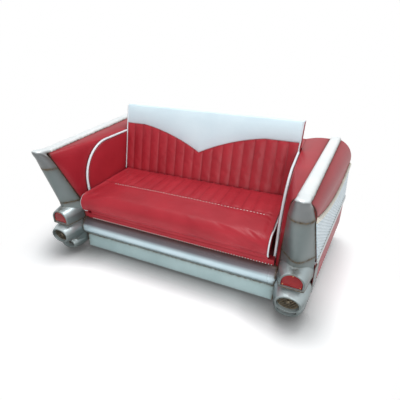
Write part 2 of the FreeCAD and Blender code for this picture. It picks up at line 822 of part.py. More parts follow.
def fin_line(y):
    """Middle of the fin across, which drifts outward to the rear."""
    return size("fin_x") + size("fin_spread") * (y - front) / size("depth")


def end_plane(z):
    """Where the silver trim's rear edges stand at a height: they lean forward to the tip."""
    part = (z - size("lower_seam")) / (size("upper_seam") - size("lower_seam"))
    return blend(size("lower_edge"), size("upper_edge"), part)


def channel(start, crown, end, wall, full):
    """Corners of a C-shaped section: a curve over three points, as full as asked, and one wall inside it."""
    middle = (start + end) * 0.5
    half = (end - start) * 0.5
    rise = crown - middle

    def rail(inset):
        across = half * (1 - inset / half.Length)
        up = rise * (1 - inset / rise.Length)
        curve = Part.BSplineCurve()
        curve.interpolate([middle - across, middle - across * full + up * full, middle + up,
                           middle + across * full + up * full, middle + across])
        return faceted(curve, "channel_facets")

    return rail(0) + rail(wall)[::-1]


def trim_section(z, wall):
    """The silver trim's section at a height between its two seams."""
    part = (z - size("lower_seam")) / (size("upper_seam") - size("lower_seam"))
    x = size("fin_x") + blend(size("lower_trim_shift"), size("upper_trim_shift"), part)
    half = blend(size("lower_trim_half"), size("upper_trim_half"), part)
    nose_depth = blend(size("lower_trim_depth"), size("upper_trim_depth"), part)
    full = blend(size("lower_trim_fullness"), size("upper_trim_fullness"), part)
    y = end_plane(z)
    return channel(Vector(x - half, y, z), Vector(x, y - nose_depth, z), Vector(x + half, y, z), wall, full)


def strip_section(y):
    """The strip's section on top of the fin."""
    x, half, base = fin_line(y), size("strip_half_width"), size("strip_base")
    return channel(Vector(x - half, y, base), Vector(x, y, base + size("strip_crown")),
                   Vector(x + half, y, base), size("trim_wall"), size("strip_fullness"))


wall = size("trim_wall")
trim_shape = skinned([trim_section(blend(size("lower_seam") + gap, size("upper_seam") - gap, part), wall)
                      for part in steps("trim_spans")])
pair("fin_trim", formed("right_fin_trim", trim_shape))

cap_rear = front + size("cap_length")
waist_y = end_plane(size("cap_waist_height"))
waist_x = fin_line(waist_y)
waist = channel(Vector(waist_x - size("cap_waist_half"), waist_y, size("cap_waist_height")),
                Vector(waist_x, waist_y - size("cap_waist_depth"), size("cap_waist_height")),
                Vector(waist_x + size("cap_waist_half"), waist_y, size("cap_waist_height")), wall,
                size("upper_trim_fullness"))
tip_y = end_plane(size("strip_base"))
tip_x, tip_base = fin_line(tip_y), size("strip_base")
tip = channel(Vector(tip_x - size("strip_half_width"), tip_y, tip_base),
              Vector(tip_x, front - size("cap_nose_lead"), tip_base + size("cap_nose_rise")),
              Vector(tip_x + size("strip_half_width"), tip_y, tip_base), wall, size("strip_fullness"))
cap_rails = []
for foot, *bend in zip(trim_section(size("upper_seam"), wall), waist, tip, strip_section(cap_rear)):
    rail = Part.BSplineCurve()
    rail.interpolate(Points=bend, InitialTangent=bend[0] - foot, FinalTangent=Vector(0, 1, 0))
    cap_rails.append([foot] + faceted(rail, "cap_spans"))
cap_shape = skinned([list(corners) for corners in zip(*cap_rails)])
pair("fin_cap", formed("right_fin_cap", cap_shape))
strip_shape = skinned([strip_section(cap_rear + gap), strip_section(rear)])
pair("fin_strip", formed("right_fin_strip", strip_shape))

# Inner skin of the arm: painted sheet from the piping out to the strip and the silver trim.

skin_x = size("arm_pad_outer") + gap
skin_rear = size("rail_rear")
skin_top = size("arm_top") + size("skin_rise")
skin_radius = size("arm_corner_radius") + size("skin_rise")
skin_front = size("arm_front") - size("skin_rise")
skin_bottom = size("skin_bottom")
inner_lower_x = size("lamp_x") - size("lower_trim_half")
tuck_x = size("strip_half_width") - size("skin_tuck")
cap_foot = blend(size("upper_seam"), size("cap_waist_height"), size("cap_foot_share"))
cap_foot_x = blend(size("fin_x") + size("upper_trim_shift") - size("upper_trim_half"),
                   waist_x - size("cap_waist_half"), size("cap_foot_share"))
edge_gap = size("edge_gap")


def inner_rail(inset):
    """The skin's edge along the piping, moved into the arm by an inset."""
    radius = skin_radius - inset
    top, nose_y = skin_top - inset, skin_front + inset
    slant = radius * math.sqrt(0.5)
    points = [Vector(skin_x, skin_rear, top), Vector(skin_x, corner_y, top), Vector(skin_x, nose_y, corner_z),
              Vector(skin_x, nose_y, size("lower_seam")),
              Vector(skin_x, size("skin_foot") + inset, skin_bottom)]
    corner_arc = Part.Arc(points[1], Vector(skin_x, corner_y - slant, corner_z + slant), points[2])
    return points[:1] + faceted(corner_arc, "skin_facets") + points[3:]


def outer_rail(inset):
    """The skin's edge under the strip and behind the trim, moved into the arm by an inset."""
    under = size("strip_base") - edge_gap - inset
    behind = size("skin_setback") + inset
    bend_y = end_plane(size("strip_base")) + size("cap_bend_radius")
    bend_step = size("cap_bend_radius") * size("cap_bend_share")
    bend_z = under - bend_step
    points = [Vector(fin_line(skin_rear) - tuck_x, skin_rear, under),
              Vector(fin_line(bend_y) - tuck_x, bend_y, under),
              Vector(cap_foot_x, end_plane(cap_foot) + behind, cap_foot),
              Vector(inner_lower_x, size("lower_edge") + behind, size("lower_seam")),
              Vector(inner_lower_x, size("mount_plane") + behind, skin_bottom)]
    bend = Vector((points[1].x + points[2].x) / 2, end_plane(bend_z) + behind + bend_step, bend_z)
    return points[:1] + faceted(Part.Arc(points[1], bend, points[2]), "skin_facets") + points[3:]


skin = size("skin_wall")
skin_rails = (inner_rail(0), outer_rail(0), outer_rail(skin), inner_rail(skin))
skin_shape = skinned([list(corners) for corners in zip(*skin_rails)])
pair("fin_inner_skin", formed("right_fin_inner_skin", skin_shape))

# Outer side: a red panel that rolls under the strip and runs flat behind the fluted insert.


def side_x(y, z):
    """How far out the flat of the side stands at a depth and height."""
    return size("side_front") + size("side_flare") * (y - size("upper_edge")) \
        + size("side_batter") * (size("upper_seam") - z)


moulding_half = size("moulding_width") / 2
sheet_wall = size("sheet_wall")
shoulder_normal = Vector(0.8, 0, 0.6)
top_normal = Vector(0.5, 0, 1)


def side_section(station, shoulder_out, shoulder_z, break_z):
    """The panel's section: a rolled shoulder above the flat; station gives the depth at a height."""
    top_z = size("strip_base") - edge_gap
    bottom_z = size("sill_top") + gap
    top_y, break_y = station(top_z), station(break_z)
    top_x = fin_line(top_y) + size("strip_half_width") - size("panel_tuck")
    shoulder_x = fin_line(station(shoulder_z)) + shoulder_out

    def rail(inset):
        top = Vector(top_x, station(top_z - inset), top_z) - top_normal * inset
        low_z = shoulder_z - shoulder_normal.z * inset
        shoulder = Vector(shoulder_x, station(low_z), shoulder_z) - shoulder_normal * inset
        fold = Vector(side_x(break_y, break_z) - inset, break_y, break_z)
        foot = Vector(side_x(station(bottom_z), bottom_z) - inset, station(bottom_z), bottom_z)
        return faceted(Part.Arc(top, shoulder, fold), "roll_facets") + [foot]

    return rail(0) + rail(sheet_wall)[::-1]


def panel_front(z):
    """The panel's front edge, a dark gap behind the trim."""
    return end_plane(z) + size("panel_gap")


def panel_rear(z):
    """The panel's rear edge, against the rear sheet."""
    return skin_rear


front_break = size("moulding_front_height") + moulding_half + edge_gap
rear_break = size("moulding_rear_height") + moulding_half + edge_gap
side_ends = [
    side_section(panel_front, size("shoulder_front_out"), size("shoulder_front_height"), front_break),
    side_section(panel_rear, size("shoulder_rear_out"), size("shoulder_rear_height"), rear_break),
]
side_shape = skinned(side_ends)
pair("side_panel", formed("right_side_panel", side_shape))


def sill_section(y):
    """The lower side: a flat that flares a little and turns under."""
    top_x = side_x(y, size("sill_top"))
    foot_x = top_x + size("sill_flare")
    turned = foot_x - size("sill_return")
    points = [(top_x, size("sill_top")), (foot_x, size("sill_bottom")), (turned, size("sill_bottom")),
              (turned, size("sill_bottom") + sheet_wall),
              (foot_x - sheet_wall, size("sill_bottom") + sheet_wall),
              (top_x - sheet_wall, size("sill_top"))]
    return [Vector(x, y, z) for x, z in points]


sill_front = size("mount_plane") + edge_gap
sill_shape = skinned([sill_section(sill_front), sill_section(skin_rear)])
pair("sill_panel", formed("right_sill_panel", sill_shape))

# Bumper wrap: a short silver sheet that carries the bumper end round onto the side.


def wrap_section(y):
    """A strip of sheet that lies on the sill's flare."""
    points = []
    for out, z in ((gap, size("wrap_top")), (gap, size("sill_bottom")), (gap + wall, size("sill_bottom")),
                   (gap + wall, size("wrap_top"))):
        way = (size("sill_top") - z) / (size("sill_top") - size("sill_bottom"))
        points.append(Vector(side_x(y, size("sill_top")) + size("sill_flare") * way + out, y, z))
    return points


wrap_shape = skinned([wrap_section(sill_front), wrap_section(sill_front + size("wrap_length"))])
pair("bumper_wrap", formed("right_bumper_wrap", wrap_shape))

# Side trim lies on the flat, drawn in its own frame: u to the rear, v up, n outward.

flat_origin = Vector(side_x(size("upper_edge"), size("upper_seam")), size("upper_edge"), size("upper_seam"))
flat_u = Vector(size("side_flare"), 1, 0).normalize()
flat_n = Vector(1, -size("side_flare"), size("side_batter")).normalize()
flat_v = flat_n.cross(flat_u)
flat_frame = Placement(FreeCAD.Matrix(flat_u.x, flat_v.x, flat_n.x, flat_origin.x,
                                      flat_u.y, flat_v.y, flat_n.y, flat_origin.y,
                                      flat_u.z, flat_v.z, flat_n.z, flat_origin.z,
                                      0, 0, 0, 1))


def on_flat(y, z, out=0):
    """The flat frame's u, v, n for a depth and height of the side."""
    along = Vector(side_x(y, z), y, z) - flat_origin
    return Vector(along.dot(flat_u), along.dot(flat_v), out)


def laid(label, shape):
    """A piece of side trim set down on the flat."""
    thing = formed(label, shape)
    thing.Placement = flat_frame
    return thing


bead_front = panel_front(size("moulding_front_height")) + edge_gap
bead_rear = skin_rear - size("panel_gap")
bead_points = [on_flat(bead_front, size("moulding_front_height")), on_flat(0, size("moulding_dip_height")),
               on_flat(bead_rear, size("moulding_rear_height"))]
bead_arc = Part.Arc(*bead_points)
bead_circle = bead_arc.toShape().Curve
bead_middle = bead_circle.Center
bead_radius = bead_circle.Radius


first_spoke = (bead_points[0] - bead_middle).normalize()
last_spoke = (bead_points[2] - bead_middle).normalize()
bead_turn = math.degrees(first_spoke.getAngle(last_spoke))


def bead_section(part):
    """A low half-round section across the moulding's run, a part of the way along it."""
    spoke = Rotation(Vector(0, 0, 1), bead_turn * part).multVec(first_spoke)
    corners = []
    for step in steps("bead_facets"):
        out = bead_radius - moulding_half * math.cos(math.pi * step)
        proud = gap + size("moulding_proud") * math.sin(math.pi * step)
        corners.append(bead_middle + spoke * out + Vector(0, 0, proud))
    return corners


upper_bead = skinned([bead_section(part) for part in steps("bead_spans")])
pair("upper_moulding", laid("right_upper_moulding", upper_bead))

low_start = on_flat(panel_front(size("low_moulding_height")), size("low_moulding_height"), gap)
low_end = on_flat(bead_rear, size("low_moulding_height"), gap)
low_half = size("low_moulding_width") / 2
ridges = [low_start + Vector(0, part * low_half, height)
          for part, height in ((-1, 0), (0, size("low_moulding_valley")), (1, 0))]
crowns = [low_start + Vector(0, part * low_half, size("low_moulding_proud")) for part in (-0.5, 0.5)]
twin_bead = Part.Wire([Part.Arc(ridges[0], crowns[0], ridges[1]).toShape(),
                       Part.Arc(ridges[1], crowns[1], ridges[2]).toShape(),
                       Part.makeLine(ridges[2], ridges[0])])
pair("lower_moulding", laid("right_lower_moulding", Part.Face(twin_bead).extrude(low_end - low_start)))

# Fluted insert: slanted ridges, trimmed to the space between the two mouldings.

insert_top = bead_radius + moulding_half + gap
insert_low = low_start.y + low_half + gap
insert_front = panel_front(size("low_moulding_height") + low_half) + edge_gap
insert_front_low = on_flat(insert_front, size("low_moulding_height"))
top_front = on_flat(bead_front, size("moulding_front_height"))
insert_a = bead_middle + (top_front - bead_middle).normalize() * insert_top
insert_b = bead_middle + (bead_points[1] - bead_middle).normalize() * insert_top
insert_c = bead_middle + (bead_points[2] - bead_middle).normalize() * insert_top
insert_d = Vector(bead_points[2].x, insert_low, 0)
insert_e = Vector(insert_front_low.x, insert_low, 0)
insert_edge = Part.Wire([Part.Arc(insert_a, insert_b, insert_c).toShape(), Part.makeLine(insert_c, insert_d),
                         Part.makeLine(insert_d, insert_e), Part.makeLine(insert_e, insert_a)])
insert_depth = size("flute_base") + size("flute_height")
insert_blank = Part.Face(insert_edge).extrude(Vector(0, 0, insert_depth))
slope = math.radians(size("flute_slope"))
run_way = Vector(math.cos(slope), -math.sin(slope), 0)
step_way = Vector(math.sin(slope), math.cos(slope), 0)
corners = [vertex.Point for vertex in insert_edge.Vertexes] + [insert_b]
run_low = min(point.dot(run_way) for point in corners) - size("flute_pitch")
run_high = max(point.dot(run_way) for point in corners) + size("flute_pitch")
step_low = min(point.dot(step_way) for point in corners) - size("flute_pitch")
step_high = max(point.dot(step_way) for point in corners) + size("flute_pitch")
ridge_count = math.ceil((step_high - step_low) / size("flute_pitch"))
zigzag = []
run_start = run_way * run_low
for ridge in range(ridge_count):
    foot = step_low + ridge * size("flute_pitch")
    crest = foot + size("flute_pitch") / 2
    zigzag.append(run_start + step_way * foot + Vector(0, 0, size("flute_base")))
    zigzag.append(run_start + step_way * crest + Vector(0, 0, insert_depth))
last_foot = step_low + ridge_count * size("flute_pitch")
zigzag.append(run_start + step_way * last_foot + Vector(0, 0, size("flute_base")))
zigzag.append(Vector(zigzag[-1].x, zigzag[-1].y, 0))
zigzag.append(Vector(zigzag[0].x, zigzag[0].y, 0))
fluted = Part.Face(Part.makePolygon(zigzag + zigzag[:1])).extrude(run_way * (run_high - run_low))
flute_shape = fluted.common(insert_blank)
flute_shape.translate(Vector(0, 0, gap))
pair("fluted_insert", laid("right_fluted_insert", flute_shape.Solids[0]))

# Rear sheet and the shelf behind the backrest.

shelf = block("rear_shelf", ("- shelf_half_width", "shelf_half_width"), ("shelf_front", "rail_rear"),
              ("shelf_top - sheet_wall", "shelf_top"))
node("rear_shelf", shelf)

rear_x = fin_line(skin_rear)
rear_top = size("strip_base") - edge_gap
half_outline = [
    Vector(side_x(skin_rear, size("sill_top")) + size("sill_flare"), 0, size("sill_bottom")),
    Vector(side_x(skin_rear, size("sill_top")), 0, size("sill_top")),
    Vector(side_x(skin_rear, rear_break), 0, rear_break),
    Vector(rear_x + size("shoulder_rear_out"), 0, size("shoulder_rear_height")),
    Vector(rear_x + size("strip_half_width") - size("panel_tuck"), 0, rear_top),
    Vector(rear_x - tuck_x, 0, rear_top),
    Vector(skin_x, 0, skin_top),
]


def across(point):
    """The same point on the left."""
    return Vector(-point.x, point.y, point.z)


def rear_edges(points, side):
    """The sheet's edges on one side, with the rolled shoulder as an arc."""
    spots = [side(point) for point in points]
    return [Part.makeLine(spots[0], spots[1]), Part.makeLine(spots[1], spots[2]),
            Part.Arc(spots[2], spots[3], spots[4]).toShape(), Part.makeLine(spots[4], spots[5]),
            Part.makeLine(spots[5], spots[6])]


right_edges = rear_edges(half_outline, Vector)
left_edges = rear_edges(half_outline, across)
rear_wire = Part.Wire(Part.__sortEdges__(
    right_edges + left_edges + [Part.makeLine(half_outline[-1], across(half_outline[-1])),
                                Part.makeLine(half_outline[0], across(half_outline[0]))]))
rear_shape = Part.Face(rear_wire).extrude(Vector(0, sheet_wall, 0))
rear_panel = formed("rear_panel", rear_shape)
rear_panel.Placement.Base = Vector(0, rear - sheet_wall, 0)

# Lamp: a hooded housing under the trim, with an arched lens set back in it.


def arch(y, x, half, bottom, shoulder, top):
    """An upright section with a flat base, straight flanks and an arched top."""
    crown = Part.Arc(Vector(x + half, y, shoulder), Vector(x, y, top), Vector(x - half, y, shoulder))
    return [Vector(x - half, y, bottom), Vector(x + half, y, bottom)] + faceted(crown, "arch_facets")


lamp_x = size("lamp_x")
mount_plane = size("mount_plane")
hood_front = front + size("hood_setback")
hood_half = size("lens_half_width") + size("hood_rim")
lamp_half = size("lower_trim_half")


def lamp_loft(inset, first, last):
    """The hood's form from its mount to its rim, drawn in by an inset."""
    sections = []
    for part in steps("lamp_spans"):
        y = blend(first, last, part)
        way = (y - mount_plane) / (hood_front - mount_plane)
        swell = way * way
        half = blend(lamp_half, hood_half, swell) - inset
        shoulder = blend(size("lamp_shoulder"), size("lens_shoulder"), swell)
        top = blend(size("lamp_rear_top"), size("lens_top") + size("hood_rim"), swell) - inset
        sections.append(arch(y, lamp_x, half, size("lamp_bottom") + inset, shoulder, top))
    return skinned(sections)


def collar_section(z, inset):
    """A closed nose-shaped section under the trim."""
    y = size("lower_edge")
    half = lamp_half - inset
    nose = y - size("lower_trim_depth") + inset
    full = size("lower_trim_fullness")
    cheek = blend(y, nose, full)
    inner_end, outer_end = Vector(lamp_x - half, y, z), Vector(lamp_x + half, y, z)
    curve = Part.BSplineCurve()
    curve.interpolate([inner_end, Vector(lamp_x - half * full, cheek, z), Vector(lamp_x, nose, z),
                       Vector(lamp_x + half * full, cheek, z), outer_end])
    return faceted(curve, "channel_facets")


lens_back = size("lens_front") + size("lens_thickness")
lamp_wall = size("lamp_wall")
hood = lamp_loft(0, mount_plane, hood_front)
collar = skinned([collar_section(size("collar_foot"), lamp_wall), collar_section(size("lower_seam"), 0)])
hollow = lamp_loft(lamp_wall, mount_plane, lens_back + lamp_wall)
lens_seat = arch(hood_front, lamp_x, size("lens_half_width") + edge_gap, size("lens_base") - edge_gap,
                 size("lens_shoulder"), size("lens_top") + edge_gap)
lens_pocket = Part.Face(closed(lens_seat)).extrude(Vector(0, lens_back - hood_front, 0))
housing = hood.fuse(collar).cut(hollow).cut(lens_pocket)
pair("lamp_housing", formed("right_lamp_housing", housing.Solids[0]))

def lens_section(y, inset):
    """The lens's arched outline, drawn in by an inset."""
    return arch(y, lamp_x, size("lens_half_width") - inset, size("lens_base") + inset, size("lens_shoulder"),
                size("lens_top") - inset)


lens_bevel = size("lens_bevel")
lens_front = size("lens_front")
lens = skinned([lens_section(lens_front, lens_bevel), lens_section(lens_front + lens_bevel, 0),
                lens_section(lens_back - gap, 0)])
pair("lamp_lens", formed("right_lamp_lens", lens))

# Bumper ends: two flattened barrels, one above the other, each with an oval port in its nose.


def oval(y, x, z, half, tall):
    """Corners of an upright oval."""
    turns = [2 * math.pi * part for part in steps("oval_facets")[:-1]]
    return [Vector(x + half * math.cos(turn), y, z + tall * math.sin(turn)) for turn in turns]


def oval_plate(middle, half, tall, depth):
    """A flat oval plate or plug that runs to the rear."""
    return Part.Face(closed(oval(middle.y, middle.x, middle.z, half, tall))).extrude(Vector(0, depth, 0))


pod_outer = side_x(mount_plane, size("sill_top")) + size("sill_flare")
pod_inner = lamp_x - size("pod_inner_flank")
pod_half = (pod_outer - pod_inner) / 2
pod_middle = (pod_outer + pod_inner) / 2


def barrel(nose, half, tall, z, root_half, root_tall, inset, start):
    """One barrel of the bumper end, from its root to its nose, drawn in by an inset."""
    sections = []
    for part in steps("barrel_spans"):
        y = blend(mount_plane, start, part)
        way = (y - mount_plane) / (nose - mount_plane)
        swell = way ** 3
        sections.append(oval(y, blend(pod_middle, lamp_x, way), z, blend(root_half, half, swell) - inset,
                             blend(root_tall, tall, swell) - inset))
    return skinned(sections)


port_nose = front + size("port_setback")
scoop_nose = front + size("scoop_setback")
port_rim, scoop_rim, pod_wall = size("port_rim"), size("scoop_rim"), size("pod_wall")
port_root = size("lamp_bottom") - gap - size("port_height")
scoop_root = size("scoop_height") - size("valance_bottom")
port_form = (port_nose, size("port_half_width") + port_rim, size("port_half_height") + port_rim,
             size("port_height"), pod_half, port_root)
scoop_form = (scoop_nose, size("scoop_half_width") + scoop_rim, size("scoop_half_height") + scoop_rim,
              size("scoop_height"), pod_half - pod_wall, scoop_root)


def core_section(y):
    """The waist that joins the barrels at their root: an oval with its middle drawn out."""
    way = (y - mount_plane) / (scoop_nose - mount_plane)
    swell = way ** 3
    half = blend(pod_half - pod_wall, size("pod_core_half"), way * way)
    x = blend(pod_middle, lamp_x, way)
    tops = oval(y, x, size("port_height"), half, blend(port_root, port_form[2], swell))
    feet = oval(y, x, size("scoop_height"), half, blend(scoop_root, scoop_form[2], swell))
    return [top if top.z >= size("port_height") else foot for top, foot in zip(tops, feet)]


pod_core = skinned([core_section(blend(mount_plane, scoop_nose + size("scoop_depth") / 2, part))
                    for part in steps("barrel_spans")])
pod = barrel(*port_form, 0, port_nose).fuse(barrel(*scoop_form, 0, scoop_nose)).fuse(pod_core)
pod = pod.cut(barrel(*port_form, pod_wall, port_nose + size("port_depth")))
pod = pod.cut(barrel(*scoop_form, pod_wall, scoop_nose + size("scoop_depth")))
port_middle = Vector(lamp_x, port_nose, size("port_height"))
scoop_middle = Vector(lamp_x, scoop_nose, size("scoop_height"))
pod = pod.cut(oval_plate(port_middle, size("port_half_width"), size("port_half_height"),
                         size("port_depth") + pod_wall))
pod = pod.cut(oval_plate(scoop_middle, size("scoop_half_width"), size("scoop_half_height"),
                         size("scoop_depth") + pod_wall))
pair("bumper_end", formed("right_bumper_end", pod.Solids[0]))

# Port grille: an oval ring with level bars and a round boss.

grille_y = front + size("grille_setback")
grille_half = size("port_half_width") - gap
grille_tall = size("port_half_height") - gap
grille_bar = size("grille_bar")
grille_depth = size("grille_thickness")
grille_middle = Vector(lamp_x, grille_y, size("port_height"))
disc = oval_plate(grille_middle, grille_half, grille_tall, grille_depth)
grille = disc.cut(oval_plate(grille_middle, grille_half - grille_bar, grille_tall - grille_bar, grille_depth))
bar_step = 2 * grille_tall / (size("grille_bar_count") + 1)
for number in range(int(size("grille_bar_count"))):
    bar_z = size("port_height") - grille_tall + (number + 1) * bar_step - grille_bar / 2
    bar_corner = Vector(lamp_x - grille_half, grille_y, bar_z)
    bar = Part.makeBox(2 * grille_half, grille_depth, grille_bar, bar_corner)
    grille = grille.fuse(bar.common(disc))
boss = oval_plate(grille_middle, size("grille_boss_radius"), size("grille_boss_radius"), grille_depth)
grille = grille.fuse(boss).removeSplitter()
pair("port_grille", formed("right_port_grille", grille.Solids[0]))

# Mount plate behind each lamp and bumper end, with two stubs to the front rail.

plate_rear = "mount_plane + seam_gap + bracket_plate"
bracket_x = ("lamp_x - bracket_half_width", "lamp_x + bracket_half_width")
bracket_parts = [
    block("bracket_plate_block", bracket_x, ("mount_plane + seam_gap", plate_rear),
          ("bracket_bottom", "bracket_top")),
    tube("bracket_inner_stub", "y", ("lamp_x - bracket_half_width", "lamp_x - bracket_half_width + tube"),
         (plate_rear, "rail_front"), rail_z),
    tube("bracket_outer_stub", "y", ("lamp_x + bracket_half_width - tube", "lamp_x + bracket_half_width"),
         (plate_rear, "rail_front"), rail_z),
]
pair("end_bracket", group("right_end_bracket", bracket_parts))

# Front: padded apron under the cushion's nose, rolled bumper bar, and the valance sheet below it.

apron_pad = doc.addObject("PartDesign::Body", "apron_pad")
apron_profile = sketch_on(apron_pad, "apron_profile", "YZ_Plane")
outline(apron_profile, [
    ("bumper_rear", "apron_top"),
    ("apron_front", "apron_top", "apron_crown_radius", 1),
    ("apron_front", "bumper_top + seam_gap"),
    ("bumper_rear", "bumper_top + seam_gap"),
])
padded(apron_pad, apron_profile, "apron_length", both=True)
node("apron_pad", apron_pad)

bumper_bar = doc.addObject("PartDesign::Body", "bumper_bar")
bumper_profile = sketch_on(bumper_bar, "bumper_profile", "YZ_Plane")
outline(bumper_profile, [
    ("bumper_rear", "bumper_top"),
    ("bumper_lip", "bumper_top", "bumper_radius", 1),
    ("bumper_lip", "bumper_bottom"),
    ("bumper_rear", "bumper_bottom"),
    ("bumper_rear", "bumper_bottom + trim_wall"),
    ("bumper_lip", "bumper_bottom + trim_wall", "bumper_inner_radius", -1),
    ("bumper_lip", "bumper_top - trim_wall"),
    ("bumper_rear", "bumper_top - trim_wall"),
])
padded(bumper_bar, bumper_profile, "bumper_length", both=True)
node("bumper_bar", bumper_bar)

valance = doc.addObject("PartDesign::Body", "valance")
valance_profile = sketch_on(valance, "valance_profile", "YZ_Plane")
outline(valance_profile, [
    ("bumper_rear", "valance_top"),
    ("valance_front", "valance_top"),
    ("valance_foot", "valance_bottom"),
    ("valance_foot + valance_flange", "valance_bottom"),
    ("valance_foot + valance_flange", "valance_bottom + sheet_wall"),
    ("valance_foot + sheet_wall", "valance_bottom + sheet_wall"),
    ("valance_front + sheet_wall", "valance_top - sheet_wall"),
    ("bumper_rear", "valance_top - sheet_wall"),
])
padded(valance, valance_profile, "bumper_length", both=True)
node("valance", valance)

# Write each finished piece to its own file.

doc.recompute()
for thing in doc.Objects:
    if "Invalid" in thing.State or "Error" in thing.State:
        raise RuntimeError(f"{thing.Label} did not build: {thing.State}")
os.makedirs("parts", exist_ok=True)
for label, thing in nodes.items():
    shape = thing.Shape
    if shape.isNull() or not shape.isValid() or not shape.Solids:
        raise RuntimeError(f"{label} has no valid solid")
    shape.exportStep(f"parts/{label}.step")
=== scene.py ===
import math

import bmesh
import bpy
import numpy as np
from mathutils import Matrix, Vector


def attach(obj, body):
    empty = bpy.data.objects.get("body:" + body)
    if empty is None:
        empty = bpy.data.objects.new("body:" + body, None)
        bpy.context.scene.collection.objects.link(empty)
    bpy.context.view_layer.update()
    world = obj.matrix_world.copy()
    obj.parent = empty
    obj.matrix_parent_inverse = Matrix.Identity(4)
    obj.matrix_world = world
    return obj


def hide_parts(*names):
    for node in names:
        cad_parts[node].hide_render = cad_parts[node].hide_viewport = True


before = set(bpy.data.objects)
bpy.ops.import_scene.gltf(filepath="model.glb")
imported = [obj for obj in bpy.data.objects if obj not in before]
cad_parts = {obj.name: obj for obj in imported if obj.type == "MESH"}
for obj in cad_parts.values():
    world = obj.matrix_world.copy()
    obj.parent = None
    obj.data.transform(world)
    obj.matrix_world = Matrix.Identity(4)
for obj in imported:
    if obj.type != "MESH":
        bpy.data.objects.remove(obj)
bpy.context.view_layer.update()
scene = bpy.context.scene
scene.view_settings.view_transform = "Standard"

# Studio: a plain pale floor that takes the lamps' soft shadow and, where the camera sees it, a painted
# shadow that darkens it near the sofa, an overhead softbox, a front fill, and a camera that stands
# to the right of the sofa and looks down on it.


def wired(tree, node, values):
    """Sets a node's sockets: the socket of another node is linked, anything else is a fixed value."""
    for name, value in values.items():
        if isinstance(value, bpy.types.NodeSocket):
            tree.links.new(value, node.inputs[name])
        else:
            node.inputs[name].default_value = value


def added(tree, kind, values=None, **settings):
    """A new shader node with its settings and its sockets."""
    node = tree.nodes.new("ShaderNode" + kind)
    for name, value in settings.items():
        setattr(node, name, value)
    wired(tree, node, values or {})
    return node


def fresh_material(name):
    """A new node material, its tree and its shader."""
    made = bpy.data.materials.new(name)
    made.use_nodes = True
    return made, made.node_tree, made.node_tree.nodes["Principled BSDF"]


def looked_at(tree):
    """1 on rays from the camera, from gloss and through glass, and 0 on the rest."""
    path = added(tree, "LightPath").outputs
    either = added(tree, "Math", {0: path["Is Camera Ray"], 1: path["Is Glossy Ray"]}, operation="MAXIMUM")
    every = added(tree, "Math", {0: either.outputs[0], 1: path["Is Transmission Ray"]}, operation="MAXIMUM")
    return every.outputs[0]


floor_reach = 40.0
floor_corners = [(x * floor_reach, y * floor_reach, 0) for x, y in ((-1, -1), (1, -1), (1, 1), (-1, 1))]
floor_mesh = bpy.data.meshes.new("floor")
floor_mesh.from_pydata(floor_corners, [], [(0, 1, 2, 3)])
floor = bpy.data.objects.new("floor", floor_mesh)
scene.collection.objects.link(floor)

white = (1, 1, 1, 1)
shadow_reach, shadow_start, shadow_tone, open_tone = 0.24, 0.4, 0.35, 1.5
fade_start, fade_end = 1.0, 1.4
floor_paint, tree, shader = fresh_material("floor_paint")
wired(tree, shader, {"Base Color": (0.86, 0.86, 0.87, 1), "Roughness": 0.9, "Specular IOR Level": 0.1})
# Painted shadow: ambient occlusion darkens the floor's colour near the sofa, on rays from the camera and
# from gloss.
painted_floor_shadow = added(tree, "AmbientOcclusion", {"Distance": shadow_reach})
floor_shadow_tone = added(tree, "MapRange", {"Value": painted_floor_shadow.outputs["AO"], "From Min": shadow_start,
                                      "To Min": shadow_tone, "To Max": open_tone})
pale_floor = added(tree, "BsdfDiffuse", {"Color": floor_shadow_tone.outputs["Result"]})
glow = added(tree, "Emission", {"Color": white, "Strength": 0.03})
lifted = added(tree, "AddShader", {0: pale_floor.outputs[0], 1: glow.outputs[0]})
far_white = added(tree, "Emission", {"Color": white})
floor_run = added(tree, "VectorMath", {0: added(tree, "TexCoord").outputs["Object"]}, operation="LENGTH")
fade = added(tree, "MapRange", {"Value": floor_run.outputs["Value"], "From Min": fade_start,
                                "From Max": fade_end}, interpolation_type="SMOOTHSTEP")
seen = added(tree, "MixShader", {"Fac": fade.outputs["Result"], 1: lifted.outputs[0],
                                 2: far_white.outputs[0]})
chosen = added(tree, "MixShader", {"Fac": looked_at(tree), 1: shader.outputs[0], 2: seen.outputs[0]})
wired(tree, tree.nodes["Material Output"], {"Surface": chosen.outputs[0]})
floor_mesh.materials.append(floor_paint)

world = bpy.data.worlds.new("studio_world")
world.use_nodes = True
scene.world = world
tree = world.node_tree
ambient = tree.nodes["Background"]
wired(tree, ambient, {"Color": (0.93, 0.97, 1.0, 1), "Strength": 0.3})
backdrop = added(tree, "Background", {"Color": white, "Strength": 1.0})
sky = added(tree, "MixShader", {"Fac": looked_at(tree), 1: ambient.outputs[0], 2: backdrop.outputs[0]})
wired(tree, tree.nodes["World Output"], {"Surface": sky.outputs[0]})

lit_spot = Vector((0, 0, 0.4))


def softbox(name, place, width, power):
    """A square area lamp that faces the middle of the sofa."""
    lamp = bpy.data.lights.new(name, "AREA")
    lamp.size = width
    lamp.energy = power
    hung = bpy.data.objects.new(name, lamp)
    scene.collection.objects.link(hung)
    hung.location = place
    hung.rotation_euler = (hung.location - lit_spot).to_track_quat("Z", "Y").to_euler()


softbox("overhead_softbox", (0.28, 0.3, 3.3), 2.0, 67)
softbox("front_fill", (1.6, -4.0, 1.2), 2.5, 86)

